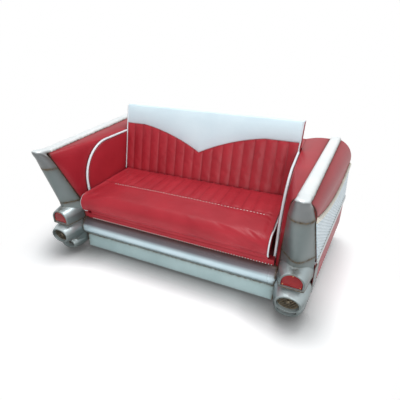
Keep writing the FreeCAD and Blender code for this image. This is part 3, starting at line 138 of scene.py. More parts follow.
lens = bpy.data.cameras.new("camera")
lens.sensor_width = 36
lens.lens = 26.867
camera = bpy.data.objects.new("camera", lens)
scene.collection.objects.link(camera)
camera_place = (0.7645, -1.6372, 1.3468)
turn, dip, tilt = math.radians(23.03), math.radians(28.363), math.radians(0.262)
ahead = np.array([-math.sin(turn) * math.cos(dip), math.cos(turn) * math.cos(dip), -math.sin(dip)])
level = np.array([math.cos(turn), math.sin(turn), 0])
upward = np.cross(level, ahead)
pose = np.eye(4)
pose[:3, 0] = level * math.cos(tilt) + upward * math.sin(tilt)
pose[:3, 1] = upward * math.cos(tilt) - level * math.sin(tilt)
pose[:3, 2] = -ahead
pose[:3, 3] = camera_place
camera.matrix_world = Matrix(pose.tolist())
scene.camera = camera

# Welded frame: black painted square tube, plywood boards and a dark dust cover on the back.
# It carries the cushions and the painted sheets, and shows only from below and behind.


def noise(tree, scale, detail=3.0, stretch=(1, 1, 1)):
    """A noise pattern of so many features a metre; stretch draws it out along an axis."""
    sized = added(tree, "Mapping", {"Vector": added(tree, "TexCoord").outputs["Object"], "Scale": stretch})
    grain = added(tree, "TexNoise", {"Vector": sized.outputs["Vector"], "Scale": scale, "Detail": detail})
    return grain.outputs["Fac"]


def ramped(tree, source, *stops):
    """A colour ramp on a pattern, from stops of place and colour."""
    ramp = added(tree, "ValToRGB", {"Fac": source})
    while len(ramp.color_ramp.elements) < len(stops):
        ramp.color_ramp.elements.new(0.5)
    for element, (place, colour) in zip(ramp.color_ramp.elements, stops):
        element.position = place
        element.color = (*colour, 1)
    return ramp.outputs["Color"]


def ranged(tree, source, low, high, first=0.0, last=1.0):
    """A pattern moved onto the range from low to high."""
    moved = added(tree, "MapRange", {"Value": source, "From Min": first, "From Max": last,
                                     "To Min": low, "To Max": high})
    return moved.outputs["Result"]


def bumped(tree, shader, source, depth, strength):
    """Relief on a shader from a pattern, so many metres deep."""
    relief = added(tree, "Bump", {"Height": source, "Distance": depth, "Strength": strength})
    wired(tree, shader, {"Normal": relief.outputs["Normal"]})


def plain_finish(name, pattern, dark, bright, gloss, metal=0.0, relief=None, relief_pattern=None):
    """A finish whose colour and gloss follow one noise pattern, with relief from it or from a finer one."""
    made, tree, shader = fresh_material(name)
    grain = noise(tree, *pattern)
    wired(tree, shader, {"Base Color": ramped(tree, grain, dark, bright),
                         "Roughness": ranged(tree, grain, *gloss), "Metallic": metal})
    if relief:
        bumped(tree, shader, noise(tree, *relief_pattern) if relief_pattern else grain, *relief)
    return made


def woven_finish(name, dark, pale):
    """Plain weave in two shades, with threads a millimetre and a half wide."""
    made, tree, shader = fresh_material(name)
    weave = added(tree, "TexChecker", {"Vector": added(tree, "TexCoord").outputs["Object"], "Scale": 650,
                                       "Color1": (*dark, 1), "Color2": (*pale, 1)})
    wired(tree, shader, {"Base Color": weave.outputs["Color"],
                         "Roughness": ranged(tree, noise(tree, 30), 0.75, 0.95)})
    bumped(tree, shader, weave.outputs["Fac"], 0.0003, 0.5)
    return made


def dressed(material, *names):
    """Gives CAD nodes a finish."""
    for name in names:
        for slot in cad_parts[name].material_slots:
            slot.material = material


frame_paint = plain_finish("frame_paint", (40, 5), (0.35, (0.018, 0.018, 0.02)), (0.75, (0.05, 0.05, 0.054)),
                           (0.38, 0.6), relief=(0.0003, 0.3), relief_pattern=(700, 2))
plywood = plain_finish("plywood", (9, 6, (1, 14, 14)), (0.3, (0.36, 0.24, 0.12)), (0.7, (0.6, 0.45, 0.27)),
                       (0.55, 0.8), relief=(0.0004, 0.4))
rubber = plain_finish("glide_rubber", (120, 4), (0.4, (0.012, 0.012, 0.012)), (0.7, (0.04, 0.04, 0.04)),
                      (0.7, 0.9))
dressed(frame_paint, "base_frame", "back_frame", "left_arm_frame", "right_arm_frame",
        "left_end_bracket", "right_end_bracket")
dressed(plywood, "seat_board", "back_board")
dressed(rubber, "feet")
dressed(woven_finish("dust_cloth", (0.03, 0.03, 0.034), (0.06, 0.06, 0.066)), "back_cover")
dressed(woven_finish("platform_cloth", (0.1, 0.008, 0.012), (0.15, 0.012, 0.018)), "seat_deck")

# Bumper bar and valance: pressed sheet in silver paint, rubbed with a brown wash in the seams.
# The bar is a rolled channel across the front, bolted to the front rail; the valance hangs below it.


def falloff(distance, reach):
    """How much of a mark lies a distance from a seam: all of it at the seam, little past its reach; it
    measures brown wash, painted shade and the fall of pad shapes.
    """
    return np.exp(-np.maximum(distance, 0) / reach)


def seam_darkened(distance):
    """A dark line in a seam with a wider stain beside it; it also draws painted shadow lines under the tail
    lamps.
    """
    line, stain_and_shade = 1.2 * falloff(distance, 0.005), 0.32 * falloff(distance, 0.017)
    return np.clip(line + stain_and_shade, 0, 1)


def even(count):
    """Even steps from 0 to 1."""
    return np.linspace(0, 1, count + 1)


def crowded(count):
    """Steps from 0 to 1 that close up towards both ends."""
    return 0.5 - 0.5 * np.cos(np.pi * even(count))


def noted(mesh, values):
    """Stores how much each point of a mesh is darkened, by wear, brown wash and painted shade, for its
    material to read.
    """
    wear_and_shade = mesh.attributes.new("seam", "FLOAT", "POINT")
    wear_and_shade.data.foreach_set("value", np.asarray(values, np.float32))


def settled(name, mesh, crease):
    """Puts a mesh in the scene as a smooth object with creases over an angle, facing outward."""
    form = bmesh.new()
    form.from_mesh(mesh)
    bmesh.ops.recalc_face_normals(form, faces=form.faces)
    form.to_mesh(mesh)
    form.free()
    mesh.shade_smooth()
    mesh.set_sharp_from_angle(angle=math.radians(crease))
    piece = bpy.data.objects.new(name, mesh)
    scene.collection.objects.link(piece)
    return piece


def meshed(name, points, faces):
    """A new mesh of points and faces."""
    mesh = bpy.data.meshes.new(name)
    mesh.from_pydata(points.tolist(), [], faces)
    return mesh


def grid_cells(rows, columns):
    """The numbers of a grid's points, and the four corners of each of its cells."""
    index = np.arange(rows * columns).reshape(rows, columns)
    corners = [index[:-1, :-1], index[:-1, 1:], index[1:, 1:], index[1:, :-1]]
    return index, np.stack(corners, -1).reshape(-1, 4)


def slab(name, face, back, darkening, side=1, crease=40):
    """A closed sheet or pad between two grids of points; side -1 puts it on the left."""
    index, quads = grid_cells(*face.shape[:2])
    count = index.size
    points = np.concatenate([face.reshape(-1, 3), back.reshape(-1, 3)]) * (side, 1, 1)
    rim = np.concatenate([index[0], index[1:, -1], index[-1, -2::-1], index[-2:0:-1, 0]])
    onward = np.roll(rim, -1)
    walls = np.stack([rim, rim + count, onward + count, onward], -1)
    faces = np.concatenate([quads, (quads + count)[:, ::-1], walls])
    mesh = meshed(name, points, faces.tolist())
    noted(mesh, np.concatenate([darkening.ravel(), darkening.ravel()]))
    return settled(name, mesh, crease)


def fitted(piece, material, slot, body, *replaced):
    """Paints a piece, fixes it to a body and lets it stand for CAD nodes."""
    piece.data.materials.clear()
    piece.data.materials.append(material)
    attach(piece, body)
    if replaced:
        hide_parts(*replaced)
    return piece


def seamed(tree, base, stain_and_shade, patches=None):
    """A base colour that turns to a darker colour where a piece is marked with wear, brown wash and painted
    shade, and how far it has turned.
    """
    wear_and_shade = added(tree, "Attribute", attribute_name="seam").outputs["Fac"]
    if patches:
        wear_and_shade = added(tree, "Math", {0: wear_and_shade, 1: patches}, operation="MULTIPLY").outputs[0]
    mixed = added(tree, "Mix", {"Factor": wear_and_shade, "A": base, "B": stain_and_shade}, data_type="RGBA", clamp_factor=True)
    return mixed.outputs["Result"], wear_and_shade


def silver_finish(name, dark, bright, metal, gloss, *turns):
    """Silver paint that goes brown in seams, with painted light and shade when turns are given: lighter or
    darker by the way a face turns up or down.
    """
    made, tree, shader = fresh_material(name)
    paint = ramped(tree, noise(tree, 6, 4), (0.3, dark), (0.7, bright))
    # Painted light and shade: the paint is multiplied by a ramp on how far each face turns up.
    if turns:
        facing = added(tree, "SeparateXYZ", {0: added(tree, "TexCoord").outputs["Normal"]}).outputs["Z"]
        painted_light = ramped(tree, ranged(tree, facing, 0, 1, -1, 1),
                       *(((turn + 1) / 2, colour) for turn, colour in turns))
        painted_light_mix = added(tree, "Mix", {"Factor": 1, "A": paint, "B": painted_light}, data_type="RGBA",
                       blend_type="MULTIPLY")
        paint = painted_light_mix.outputs["Result"]
    stain_and_shade = ramped(tree, noise(tree, 90, 3), (0.35, (0.035, 0.024, 0.012)), (0.7, (0.13, 0.085, 0.04)))
    colour, wear_and_shade = seamed(tree, paint, stain_and_shade, ranged(tree, noise(tree, 55, 5), 0.55, 1.35, 0.3, 0.7))
    wired(tree, shader, {"Base Color": colour, "Roughness": ranged(tree, wear_and_shade, gloss, 0.7),
                         "Metallic": ranged(tree, wear_and_shade, metal, 0.1)})
    bumped(tree, shader, noise(tree, 260, 3), 0.0004, 0.12)
    return made


# Silver paint with painted light: faces turned up are painted pale as if lit from above, faces turned down
# are painted dark as shade.
silver_paint = silver_finish("silver_paint", (0.5, 0.59, 0.61), (0.6, 0.69, 0.71), 0.45, 0.34,
                             (0.2, (0.27, 0.28, 0.27)), (0.9, (1, 1, 1)))
# Bumper silver with painted reflection and shade: a dark underside, a white band on its front as the floor's
# reflection and a dark red top as the seat's reflection.
bumper_silver = silver_finish("bumper_silver", (0.52, 0.68, 0.74), (0.62, 0.77, 0.83), 0.3, 0.26,
                              (-0.6, (0.12, 0.11, 0.09)), (-0.4, (0.4, 0.39, 0.37)), (-0.15, (1, 1, 1)),
                              (0.2, (0.95, 0.95, 0.95)), (0.5, (0.27, 0.2, 0.21)), (0.95, (0.2, 0.1, 0.1)))
valance_paint = silver_finish("valance_paint", (0.36, 0.49, 0.5), (0.44, 0.58, 0.59), 0.2, 0.4)


def line_of(*corners):
    """Points as an array."""
    return np.array(corners, float)


def level_run(first, last, height, count):
    """Points of a section in y and z along one height."""
    return np.stack([np.linspace(first, last, count), np.full(count, height)], -1)


def circled(middle, radius, first, last, count):
    """Points on an arc in a plane, from one angle to another in degrees."""
    turns = np.radians(np.linspace(first, last, count + 1))
    return np.stack([middle[0] + radius * np.cos(turns), middle[1] + radius * np.sin(turns)], -1)


def swept(section, stations):
    """A grid that carries a section in y and z along x."""
    grid = np.empty((len(stations), len(section), 3))
    grid[..., 0] = stations[:, None]
    grid[..., 1:] = section
    return grid


def end_to_end(half, count):
    """Stations from the left end to the right that close up towards both."""
    return (2 * crowded(count) - 1) * half


def offset_section(section, wall):
    """A section moved inward by a wall, along its own normals."""
    along = np.gradient(section, axis=0)
    normal = np.stack([along[:, 1], -along[:, 0]], -1)
    return section + wall * normal / np.linalg.norm(normal, axis=1, keepdims=True)


bar_half, bar_top, bar_bottom, bar_lip, bar_rear = 0.664, 0.251, 0.122, -0.3075, -0.2728
bar_wall, roll_radius = 0.0025, 0.0675
roll_set = math.sqrt(roll_radius ** 2 - (bar_top - bar_bottom) ** 2 / 4)
roll_middle = (bar_lip + roll_set, (bar_top + bar_bottom) / 2)
lip_turn = 90 + math.degrees(math.asin(roll_set / roll_radius))
bar_section = np.concatenate([level_run(bar_rear, bar_lip, bar_top, 9)[:-1],
                              circled(roll_middle, roll_radius, lip_turn, 360 - lip_turn, 40),
                              level_run(bar_lip, bar_rear, bar_bottom, 9)[1:]])
bar_along = end_to_end(bar_half, 120)
bar_face = swept(bar_section, bar_along)
bar_back = swept(offset_section(bar_section, bar_wall), bar_along)
bar_height = bar_face[..., 2]
bar_edge = np.minimum(bar_half - np.abs(bar_along)[:, None], bar_height - bar_bottom)
bar_wear = np.maximum(seam_darkened(bar_edge), 0.6 * falloff(bar_top - bar_height, 0.006))
bumper_bar = slab("bumper_bar_roll", bar_face, bar_back, bar_wear)
fitted(bumper_bar, bumper_silver, "silver_paint", "sofa", "bumper_bar")

valance_top, valance_foot = line_of((-0.3185, 0.1217), (-0.3325, 0.024))
valance_wall, valance_return, bend, bend_turn = 0.002, 0.045, 0.006, 186.5
past_bend = line_of(-0.0012, -0.0085)
valance_section = np.concatenate([
    level_run(bar_rear, valance_top[0] + bend, valance_top[1], 7)[:-1],
    circled(valance_top + (bend, -bend), bend, 90, bend_turn, 8),
    np.linspace(valance_top + past_bend, valance_foot - past_bend, 26)[1:-1],
    circled(valance_foot + bend, bend, bend_turn, 270, 8),
    level_run(valance_foot[0] + bend, valance_foot[0] + valance_return, valance_foot[1], 6)[1:]])
valance_along = end_to_end(bar_half, 90)
valance_face = swept(valance_section, valance_along)
valance_back = swept(offset_section(valance_section, valance_wall), valance_along)
valance_height = valance_face[..., 2]
valance_edge = np.minimum(bar_half - np.abs(valance_along)[:, None], valance_top[1] - valance_height)
valance_wear = np.maximum(seam_darkened(valance_edge), 0.35 * seam_darkened(valance_height - valance_foot[1]))
valance = slab("valance_sheet", valance_face, valance_back, valance_wear)
fitted(valance, valance_paint, "silver_paint", "sofa", "valance")

# Apron: a low padded band of red leather under the cushion, stapled behind the bumper bar.
# A row of white topstitching runs along its lower edge.


def leather_finish(name, deep, full, crease_shade_colour, gloss):
    """Pebbled leather with painted shade that darkens it in creases and seams."""
    made, tree, shader = fresh_material(name)
    hide = ramped(tree, noise(tree, 4.5, 4), (0.3, deep), (0.72, full))
    stain_and_shade = ramped(tree, noise(tree, 60, 3), (0.3, crease_shade_colour),
                   (0.75, tuple(1.6 * part for part in crease_shade_colour)))
    gloss_pattern = ranged(tree, noise(tree, 14, 4), gloss - 0.05, gloss + 0.1, 0.3, 0.7)
    wired(tree, shader, {"Base Color": seamed(tree, hide, stain_and_shade)[0], "Roughness": gloss_pattern,
                         "Specular IOR Level": 0.24, "Coat Weight": 0.04, "Coat Roughness": 0.3})
    pebble = added(tree, "TexVoronoi", {"Vector": added(tree, "TexCoord").outputs["Object"], "Scale": 420})
    relief = added(tree, "Math", {0: pebble.outputs["Distance"], 1: 0.3, 2: noise(tree, 38, 6)},
                   operation="MULTIPLY_ADD")
    bumped(tree, shader, relief.outputs[0], 0.0016, 0.35)
    return made


red_leather = leather_finish("red_leather", (0.35, 0.019, 0.03), (0.45, 0.029, 0.043),
                             (0.13, 0.005, 0.009), 0.4)
thread = plain_finish("stitch_thread", (900, 2), (0.3, (0.78, 0.77, 0.75)), (0.7, (0.93, 0.92, 0.91)),
                      (0.6, 0.8))


def ringed(name, solids, side=1, crease=40):
    """One mesh of closed solids, each through matching closed rings; side -1 puts it on the left."""
    points, faces, first = [], [], 0
    for rings in solids:
        count, around = rings.shape[:2]
        index = first + np.arange(count * around).reshape(count, around)
        ahead = np.roll(index, -1, 1)
        faces += np.stack([index[:-1], ahead[:-1], ahead[1:], index[1:]], -1).reshape(-1, 4).tolist()
        faces += [index[0, ::-1].tolist(), index[-1].tolist()]
        points.append(rings.reshape(-1, 3))
        first += count * around
    return settled(name, meshed(name, np.concatenate(points) * (side, 1, 1), faces), crease)


def run_along(path):
    """How far each point lies along its path."""
    return np.concatenate([[0], np.cumsum(np.linalg.norm(np.diff(path, axis=0), axis=1))])


def stitched(name, path, out, length, pitch, thick):
    """A row of sewn stitches: short rounded beads of thread along a line of points on a surface."""
    out = np.array(out) / np.linalg.norm(out)
    run = run_along(path)
    turns = np.radians(np.arange(0, 360, 60))[:, None]
    places, swells = line_of(-1, -0.6, 0, 0.6, 1), (0.15, 0.8, 1.0, 0.8, 0.15)
    beads = []
    for middle in np.arange(pitch / 2, run[-1], pitch):
        reach = middle + places * length / 2
        spots = np.stack([np.interp(reach, run, path[:, axis]) for axis in range(3)], -1)
        along = (spots[-1] - spots[0]) / np.linalg.norm(spots[-1] - spots[0])
        round_way = np.cos(turns) * np.cross(along, out) + np.sin(turns) * out
        beads.append(np.stack([spot + out * thick * (0.5 * swell - 0.1) + round_way * thick * swell / 2
                               for spot, swell in zip(spots, swells)]))
    return ringed(name, beads, 1, 60)


def filled(face, back, held, cap, slack=0.0):
    """A pad's cover blown up like cloth over its foam: held points stay, the rest move up to a cap."""
    index, quads = grid_cells(*face.shape[:2])
    normal = np.cross(np.diff(face, axis=0)[:, :-1], np.diff(face, axis=1)[:-1])
    if (normal * (face - back)[:-1, :-1]).sum() > 0:
        quads = quads[:, ::-1]
    sheet = bpy.data.objects.new("cover_cloth", meshed("cover_cloth", face.reshape(-1, 3), quads.tolist()))
    scene.collection.objects.link(sheet)
    group = sheet.vertex_groups.new(name="held")
    grip = np.round(np.clip(held, 0, 1).ravel() * 10).astype(int)
    for step in range(1, 11):
        group.add(np.flatnonzero(grip == step).tolist(), step / 10, "REPLACE")
    cloth = sheet.modifiers.new("cover", "CLOTH")
    cloth.settings.vertex_group_mass = "held"
    cloth.settings.use_pressure = True
    cloth.settings.uniform_pressure_force = 4.0
    cloth.settings.effector_weights.gravity = 0
    cloth.settings.shrink_min = -slack
    cloth.settings.bending_stiffness = 4.0
    last_frame = 20
    cloth.point_cache.frame_end = last_frame
    for number in range(1, last_frame + 1):
        scene.frame_set(number)
    eased = sheet.evaluated_get(bpy.context.evaluated_depsgraph_get()).data
    moved = np.empty(index.size * 3, np.float32)
    eased.vertices.foreach_get("co", moved)
    bpy.data.objects.remove(sheet)
    scene.frame_set(1)
    move = moved.reshape(face.shape) - face
    length = np.linalg.norm(move, axis=2, keepdims=True)
    return face + move * cap * np.tanh(length / cap) / np.maximum(length, 1e-9)


def squared(value):
    """A sine or cosine pushed out towards its ends, for a bow with fuller corners."""
    return np.sign(value) * np.abs(value) ** 0.6


def ramp(distance, width):
    """0 at an edge and before it, rising to 1 at a width past it."""
    return np.clip(distance / width, 0, 1)


apron_half, apron_top, apron_low, apron_front = 0.64, 0.289, 0.2513, -0.3065
apron_middle, apron_tall = (apron_top + apron_low) / 2, (apron_top - apron_low) / 2
apron_bulge, apron_turn, ripple_deep, apron_hem, apron_swell = 0.0055, 0.004, 0.0012, 0.009, 0.003
apron_bend = apron_front + apron_turn
bow = np.radians(np.linspace(90, 270, 29))[1:-1]
apron_section = np.concatenate([
    level_run(bar_rear, apron_bend, apron_top, 6),
    np.stack([apron_bend + (apron_bulge + apron_turn) * squared(np.cos(bow)),
              apron_middle + apron_tall * squared(np.sin(bow))], -1),
    level_run(apron_bend, bar_rear, apron_low, 6)])
apron_along = end_to_end(apron_half, 110)
apron_face = swept(apron_section, apron_along)
apron_back = swept(apron_section * (0, 1) + (bar_rear, 0), apron_along)
ripple = ripple_deep * np.sin(apron_along * 31) * np.sin(apron_along * 12.7 + 1)
apron_face[..., 1] += ripple[:, None] * (apron_face[..., 1] < apron_front)
apron_edge = np.minimum(apron_top - apron_face[..., 2], apron_face[..., 2] - apron_low)
apron_held = np.maximum(apron_face[..., 1] > apron_front, 1 - ramp(apron_edge - apron_hem, 0.006))
apron_face = filled(apron_face, apron_back, apron_held, apron_swell)
# Painted shade: the apron is darkened along its lower edge at the bumper bar and its upper edge under the
# seat.
apron_edge_shade = falloff(apron_face[..., 2] - apron_low, 0.004) + 0.4 * falloff(apron_top - apron_face[..., 2], 0.006)
apron = slab("apron_band", apron_face, apron_back, apron_edge_shade)
fitted(apron, red_leather, "red_leather", "sofa", "apron_pad")

stitch_left, stitch_right, stitch_rise, stitch_sink = -0.6, 0.635, 0.008, 0.0004
stitch_long, stitch_pitch, stitch_thick, stitch_out = 0.007, 0.0165, 0.007, (0, -0.97, 0.25)
stitch_y, stitch_z = apron_front - apron_bulge + stitch_sink, apron_low + stitch_rise
stitch_line = np.linspace((stitch_left, stitch_y, stitch_z), (stitch_right, stitch_y, stitch_z), 240)
apron_stitches = stitched("apron_stitches", stitch_line, stitch_out, stitch_long, stitch_pitch, stitch_thick)
fitted(apron_stitches, thread, "white_welt", "sofa")

# Seat cushion: a foam slab in red leather on a board, with a plump plain band along the front,
# a stitched seam, and fifteen sewn channels that run to the back. White piping edges both ends.


def ends_packed(half, margin, rows, count):
    """Stations from end to end: even along the middle, closing up inside a margin at both ends."""
    close = margin * even(rows)[:-1] ** 1.5
    middle = np.linspace(margin - half, half - margin, count)
    return np.concatenate([close - half, middle, (half - close)[::-1]])


def to_seam(x, pitch):
    """Distance to the nearest of a row of evenly pitched seams."""
    return np.abs((x / pitch + 0.5) % 1 - 0.5) * pitch


def dipped(distance, width):
    """1 on a line, falling off smoothly on both sides."""
    return np.exp(-(distance / width) ** 2)


hands = ((1, "right"), (-1, "left"))
hairline = 0.0003
seat_half, seat_top, seat_low = 0.604, 0.45, 0.3023
seat_front, nose_radius = -0.3755, 0.052
nose_y, nose_z = seat_front + nose_radius, seat_top - nose_radius
rear_top_y, rear_low_y = 0.1575, 0.1207
tuck, lip_z, lip_deep, lip_fall = 0.046, 0.3281, 0.017, 0.001
tuck_radius = (tuck ** 2 + (nose_z - lip_z) ** 2) / (2 * tuck)
tuck_turn = math.degrees(math.asin((nose_z - lip_z) / tuck_radius))
hem_z, hem_wide = 0.2906, 0.009
lip_y = seat_front + tuck
band_y = lip_y + lip_deep
hem_y, fold_z = band_y + hem_wide, lip_z - lip_fall
seam_y, channel_pitch, channel_edge = -0.1255, 0.07, 0.525
loop = np.concatenate([
    np.linspace((rear_low_y, seat_low), (rear_top_y, seat_top), 14)[:-1],
    level_run(rear_top_y, nose_y, seat_top, 80)[:-1],
    circled((nose_y, nose_z), nose_radius, 90, 180, 16)[:-1],
    circled((seat_front + tuck_radius, nose_z), tuck_radius, 180, 180 + tuck_turn, 16)[:-1],
    np.linspace((lip_y, lip_z), (band_y, fold_z), 8)[:-1],
    np.linspace((band_y, fold_z), (band_y, hem_z), 10)[:-1],
    np.linspace((band_y, hem_z), (hem_y, hem_z), 4)[:-1],
    np.linspace((hem_y, hem_z), (hem_y, seat_low), 3)])
loop_y, loop_z = loop.T
loop_out = loop - offset_section(loop, 1.0)

seat_along = ends_packed(seat_half, 0.03, 8, 189)
from_middle = np.abs(seat_along)
from_end = seat_half - from_middle
from_seam = np.abs(loop_y - seam_y)
from_channel = to_seam(seat_along + channel_edge, channel_pitch)
edge_soft, band_soft = 0.02, 0.03
on_top = ramp(loop_z - seat_top + edge_soft, edge_soft)
behind_seam = ramp(loop_y - seam_y, edge_soft) * on_top
before_seam = ramp(seam_y - loop_y, band_soft) * ramp(loop_z - lip_z - 0.004, band_soft)
soft_run = np.clip(on_top + before_seam, 0, 1)
channelled = ramp(channel_edge + 0.005 - from_middle, edge_soft)
seam_dip = dipped(from_seam, 0.007) * on_top
end_pull = falloff(from_end, edge_soft)
puff_tall, crease_deep, band_crown, seam_deep, end_fall = 0.003, 0.003, 0.005, 0.006, 0.006
drift_tall, swell_room, seat_swell, seat_slack, seat_shade = 0.0018, 0.005, 0.01, 0.004, 0.42
lift = puff_tall * np.outer(channelled * (1 - falloff(from_channel, 0.016)), behind_seam)
lift -= crease_deep * np.outer(channelled * dipped(from_channel, 0.005), behind_seam)
lift += band_crown * np.outer(1 - end_pull, before_seam * (1 - falloff(from_seam, band_soft)))
lift -= seam_deep * np.outer(ramp(channel_edge + 0.05 - from_middle, edge_soft), seam_dip)
lift -= end_fall * np.outer(end_pull, soft_run)
drift = np.outer(np.sin(seat_along * 9.1 + 0.6), np.sin(run_along(loop) * 15.3 + 1.1))
lift += drift_tall * drift * before_seam
lift -= swell_room * soft_run
seat_face = swept(loop, seat_along)
seat_face[..., 1:] += lift[..., None] * loop_out[None]
seat_back = seat_face.copy()
seat_back[..., 2] = seat_low
seat_back[..., 1] = np.clip(seat_back[..., 1], hem_y, rear_low_y)

free_run = soft_run * ramp(rear_top_y - 0.012 - loop_y, edge_soft)
seat_held = np.maximum(np.outer(channelled * dipped(from_channel, 0.006), behind_seam), 1 - free_run[None])
seat_held = np.maximum(seat_held, dipped(from_end, 0.024)[:, None])
seat_held = np.maximum(seat_held, np.outer(from_middle < channel_edge + 0.03, seam_dip))
seat_face = filled(seat_face, seat_back, seat_held, seat_swell, seat_slack)
# Painted shade: the channel creases, the seam, the fold under the front lip and the line where the seat
# meets the backrest are darkened.
seat_crease_shade = np.maximum(np.outer(channelled * falloff(from_channel, 0.0035), behind_seam), 0.8 * seam_dip[None])
from_lip = falloff(np.abs(loop_z - lip_z), 0.004)
under_lip = 0.8 * from_lip * (loop_y <= lip_y)
in_fold = from_lip * (loop_y > lip_y) * (loop_y < -0.3)
rear_junction_shade = 1.8 * falloff(rear_top_y - loop_y, 0.009) * on_top
seat_crease_shade = np.maximum(seat_crease_shade, np.maximum.reduce([under_lip, in_fold, rear_junction_shade])[None])
seat = slab("seat_cushion_cover", seat_face, seat_back, seat_shade * seat_crease_shade, 1, 60)
fitted(seat, red_leather, "red_leather", "seat", "seat_cushion")

seam_left, seam_right, stitch_ahead, stitch_lift = -0.52, 0.53, 0.009, 0.0006
seam_x = np.linspace(seam_left, seam_right, 300)
seam_row = np.argmin(np.abs(loop_y - seam_y + stitch_ahead) + (loop_z < seat_top - 0.001))
seam_line = np.stack([np.interp(seam_x, seat_along, seat_face[:, seam_row, axis]) for axis in range(3)], -1)
seam_line[:, 2] += stitch_lift
stitch_long, stitch_pitch, stitch_thick = 0.012, 0.02, 0.0032
seat_stitches = stitched("seat_seam_stitches", seam_line, (0, 0, 1), stitch_long, stitch_pitch, stitch_thick)
fitted(seat_stitches, thread, "white_welt", "seat")


def tube_rings(path, radius, way, around):
    """Round sections along points; way is a direction square to the whole path."""
    along = np.gradient(path, axis=0)
    along /= np.linalg.norm(along, axis=1, keepdims=True)
    turns = np.linspace(0, 2 * np.pi, around, endpoint=False)[None, :, None]
    way = np.array(way, float)
    return path[:, None] + radius * (np.cos(turns) * way + np.sin(turns) * np.cross(along, way)[:, None])


def welted(name, path, radius, side, around=14):
    """A round welt along points that lie in a plane across x."""
    return ringed(name, [tube_rings(path, radius, (1, 0, 0), around)], side, 60)


def planar(x, section):
    """Points of a section in y and z, all at one x."""
    return swept(section, line_of(x))[0]


white_welt = leather_finish("white_welt", (0.7, 0.78, 0.82), (0.82, 0.88, 0.91), (0.3, 0.3, 0.29), 0.42)
welt_radius, welt_sink = 0.0045, 0.018
welt_x = seat_half + welt_radius + hairline
welt_bend = nose_radius + 0.8 * welt_radius
welt_tuck = tuck_radius + 0.8 * welt_radius
welt_drop = math.degrees(math.asin((nose_z - lip_z) / welt_tuck))
welt_path = np.concatenate([
    level_run(rear_top_y - welt_radius, nose_y, nose_z + welt_bend, 30)[:-1],
    circled((nose_y, nose_z), welt_bend, 90, 180, 20)[:-1],
    circled((nose_y - welt_bend + welt_tuck, nose_z), welt_tuck, 180, 180 + welt_drop, 16)])
welt_path[:, 1] -= welt_sink * ramp(welt_path[:, 0] + 0.3, 0.06)
for side, hand in hands:
    welt = welted(hand + "_seat_welt", planar(welt_x, welt_path), welt_radius, side)
    fitted(welt, white_welt, "white_welt", "seat", hand + "_seat_piping")

# Backrest: one leaning pad in two colours, red channels below a plain white panel that dips to a point.
# Both are foam under leather on a plywood board; the sides are boxed in red behind white piping.

lean = math.radians(14)
back_foot = line_of(0, 0.1605, 0.45)
back_up = line_of(0, math.sin(lean), math.cos(lean))
back_in = line_of(0, math.cos(lean), -math.sin(lean))
back_half, back_low, back_high, back_deep = 0.64, -0.1604, 0.482, 0.06
x_way = line_of(1, 0, 0)


def on_back(x, up, depth):
    """A place in the backrest's leaning frame."""
    x, up, depth = (part[..., None] for part in np.broadcast_arrays(x, up, depth))
    return back_foot + x * x_way + up * back_up + depth * back_in


point_x, bow_reach, bow_radius, bow_sink = -0.034, 0.656, 1.4, -1.0388
border_out, border_high = 0.45, 0.346


def border(x):
    """Height of the line between the red and the white: level at the sides, two bows to a point."""
    across = np.abs(x - point_x)
    bow = bow_sink + np.sqrt(bow_radius ** 2 - np.minimum(across - bow_reach, 0) ** 2)
    return np.where(across > border_out, border_high, bow)


def rolled(distance, radius):
    """How far a rounded edge falls back at a distance from it."""
    return radius - np.sqrt(np.maximum(radius ** 2 - np.maximum(radius - distance, 0) ** 2, 0))


channel_count, side_round, edge_round = 18, 0.012, 0.016
back_along = ends_packed(back_half, 0.02, 7, 217)
back_x = back_along[:, None]
back_border = border(back_x)
from_channel = to_seam(back_x, 2 * back_half / channel_count)
side_gap = back_half - np.abs(back_x)
inner_seams = ramp(side_gap - 0.04, 0.01)
side_roll = side_round * np.clip(1 - side_gap / side_round, 0, 1) ** 2
border_dip, border_soft, back_crease, back_set, back_puff = 0.006, 0.008, 0.002, 0.003, 0.0045
red_swell, red_slack, red_shade, white_crown, white_swell = 0.006, 0.003, 0.5, 0.005, 0.009

red_up = back_low + crowded(56)[None] * (back_border - back_low)
below_border = back_border - red_up
red_depth = back_crease * dipped(from_channel, 0.0045) * inner_seams + back_set
red_depth = red_depth - back_puff * (1 - falloff(from_channel, 0.016) * inner_seams) + side_roll
red_depth = red_depth + border_dip * falloff(below_border, border_soft)
red_face = on_back(back_x, red_up, red_depth)
red_rear = on_back(back_x, red_up, back_deep)
red_edge = np.minimum(np.minimum(below_border, red_up - back_low), side_gap)
red_held = np.maximum(dipped(from_channel, 0.006) * inner_seams, 1 - ramp(red_edge, 0.012))
red_face = filled(red_face, red_rear, red_held, red_swell, red_slack)
# Painted shade: the channel creases, the border under the white panel and the foot of the pad are darkened.
red_crease_shade = np.maximum(falloff(from_channel, 0.0035) * inner_seams, 0.8 * falloff(below_border, 0.004))
red_crease_shade = np.maximum(red_crease_shade, 1.6 * falloff(red_up, 0.01))
red_pad = slab("back_channels_cover", red_face, red_rear, red_shade * red_crease_shade, 1, 60)
fitted(red_pad, red_leather, "red_leather", "sofa", "back_channel_pad")

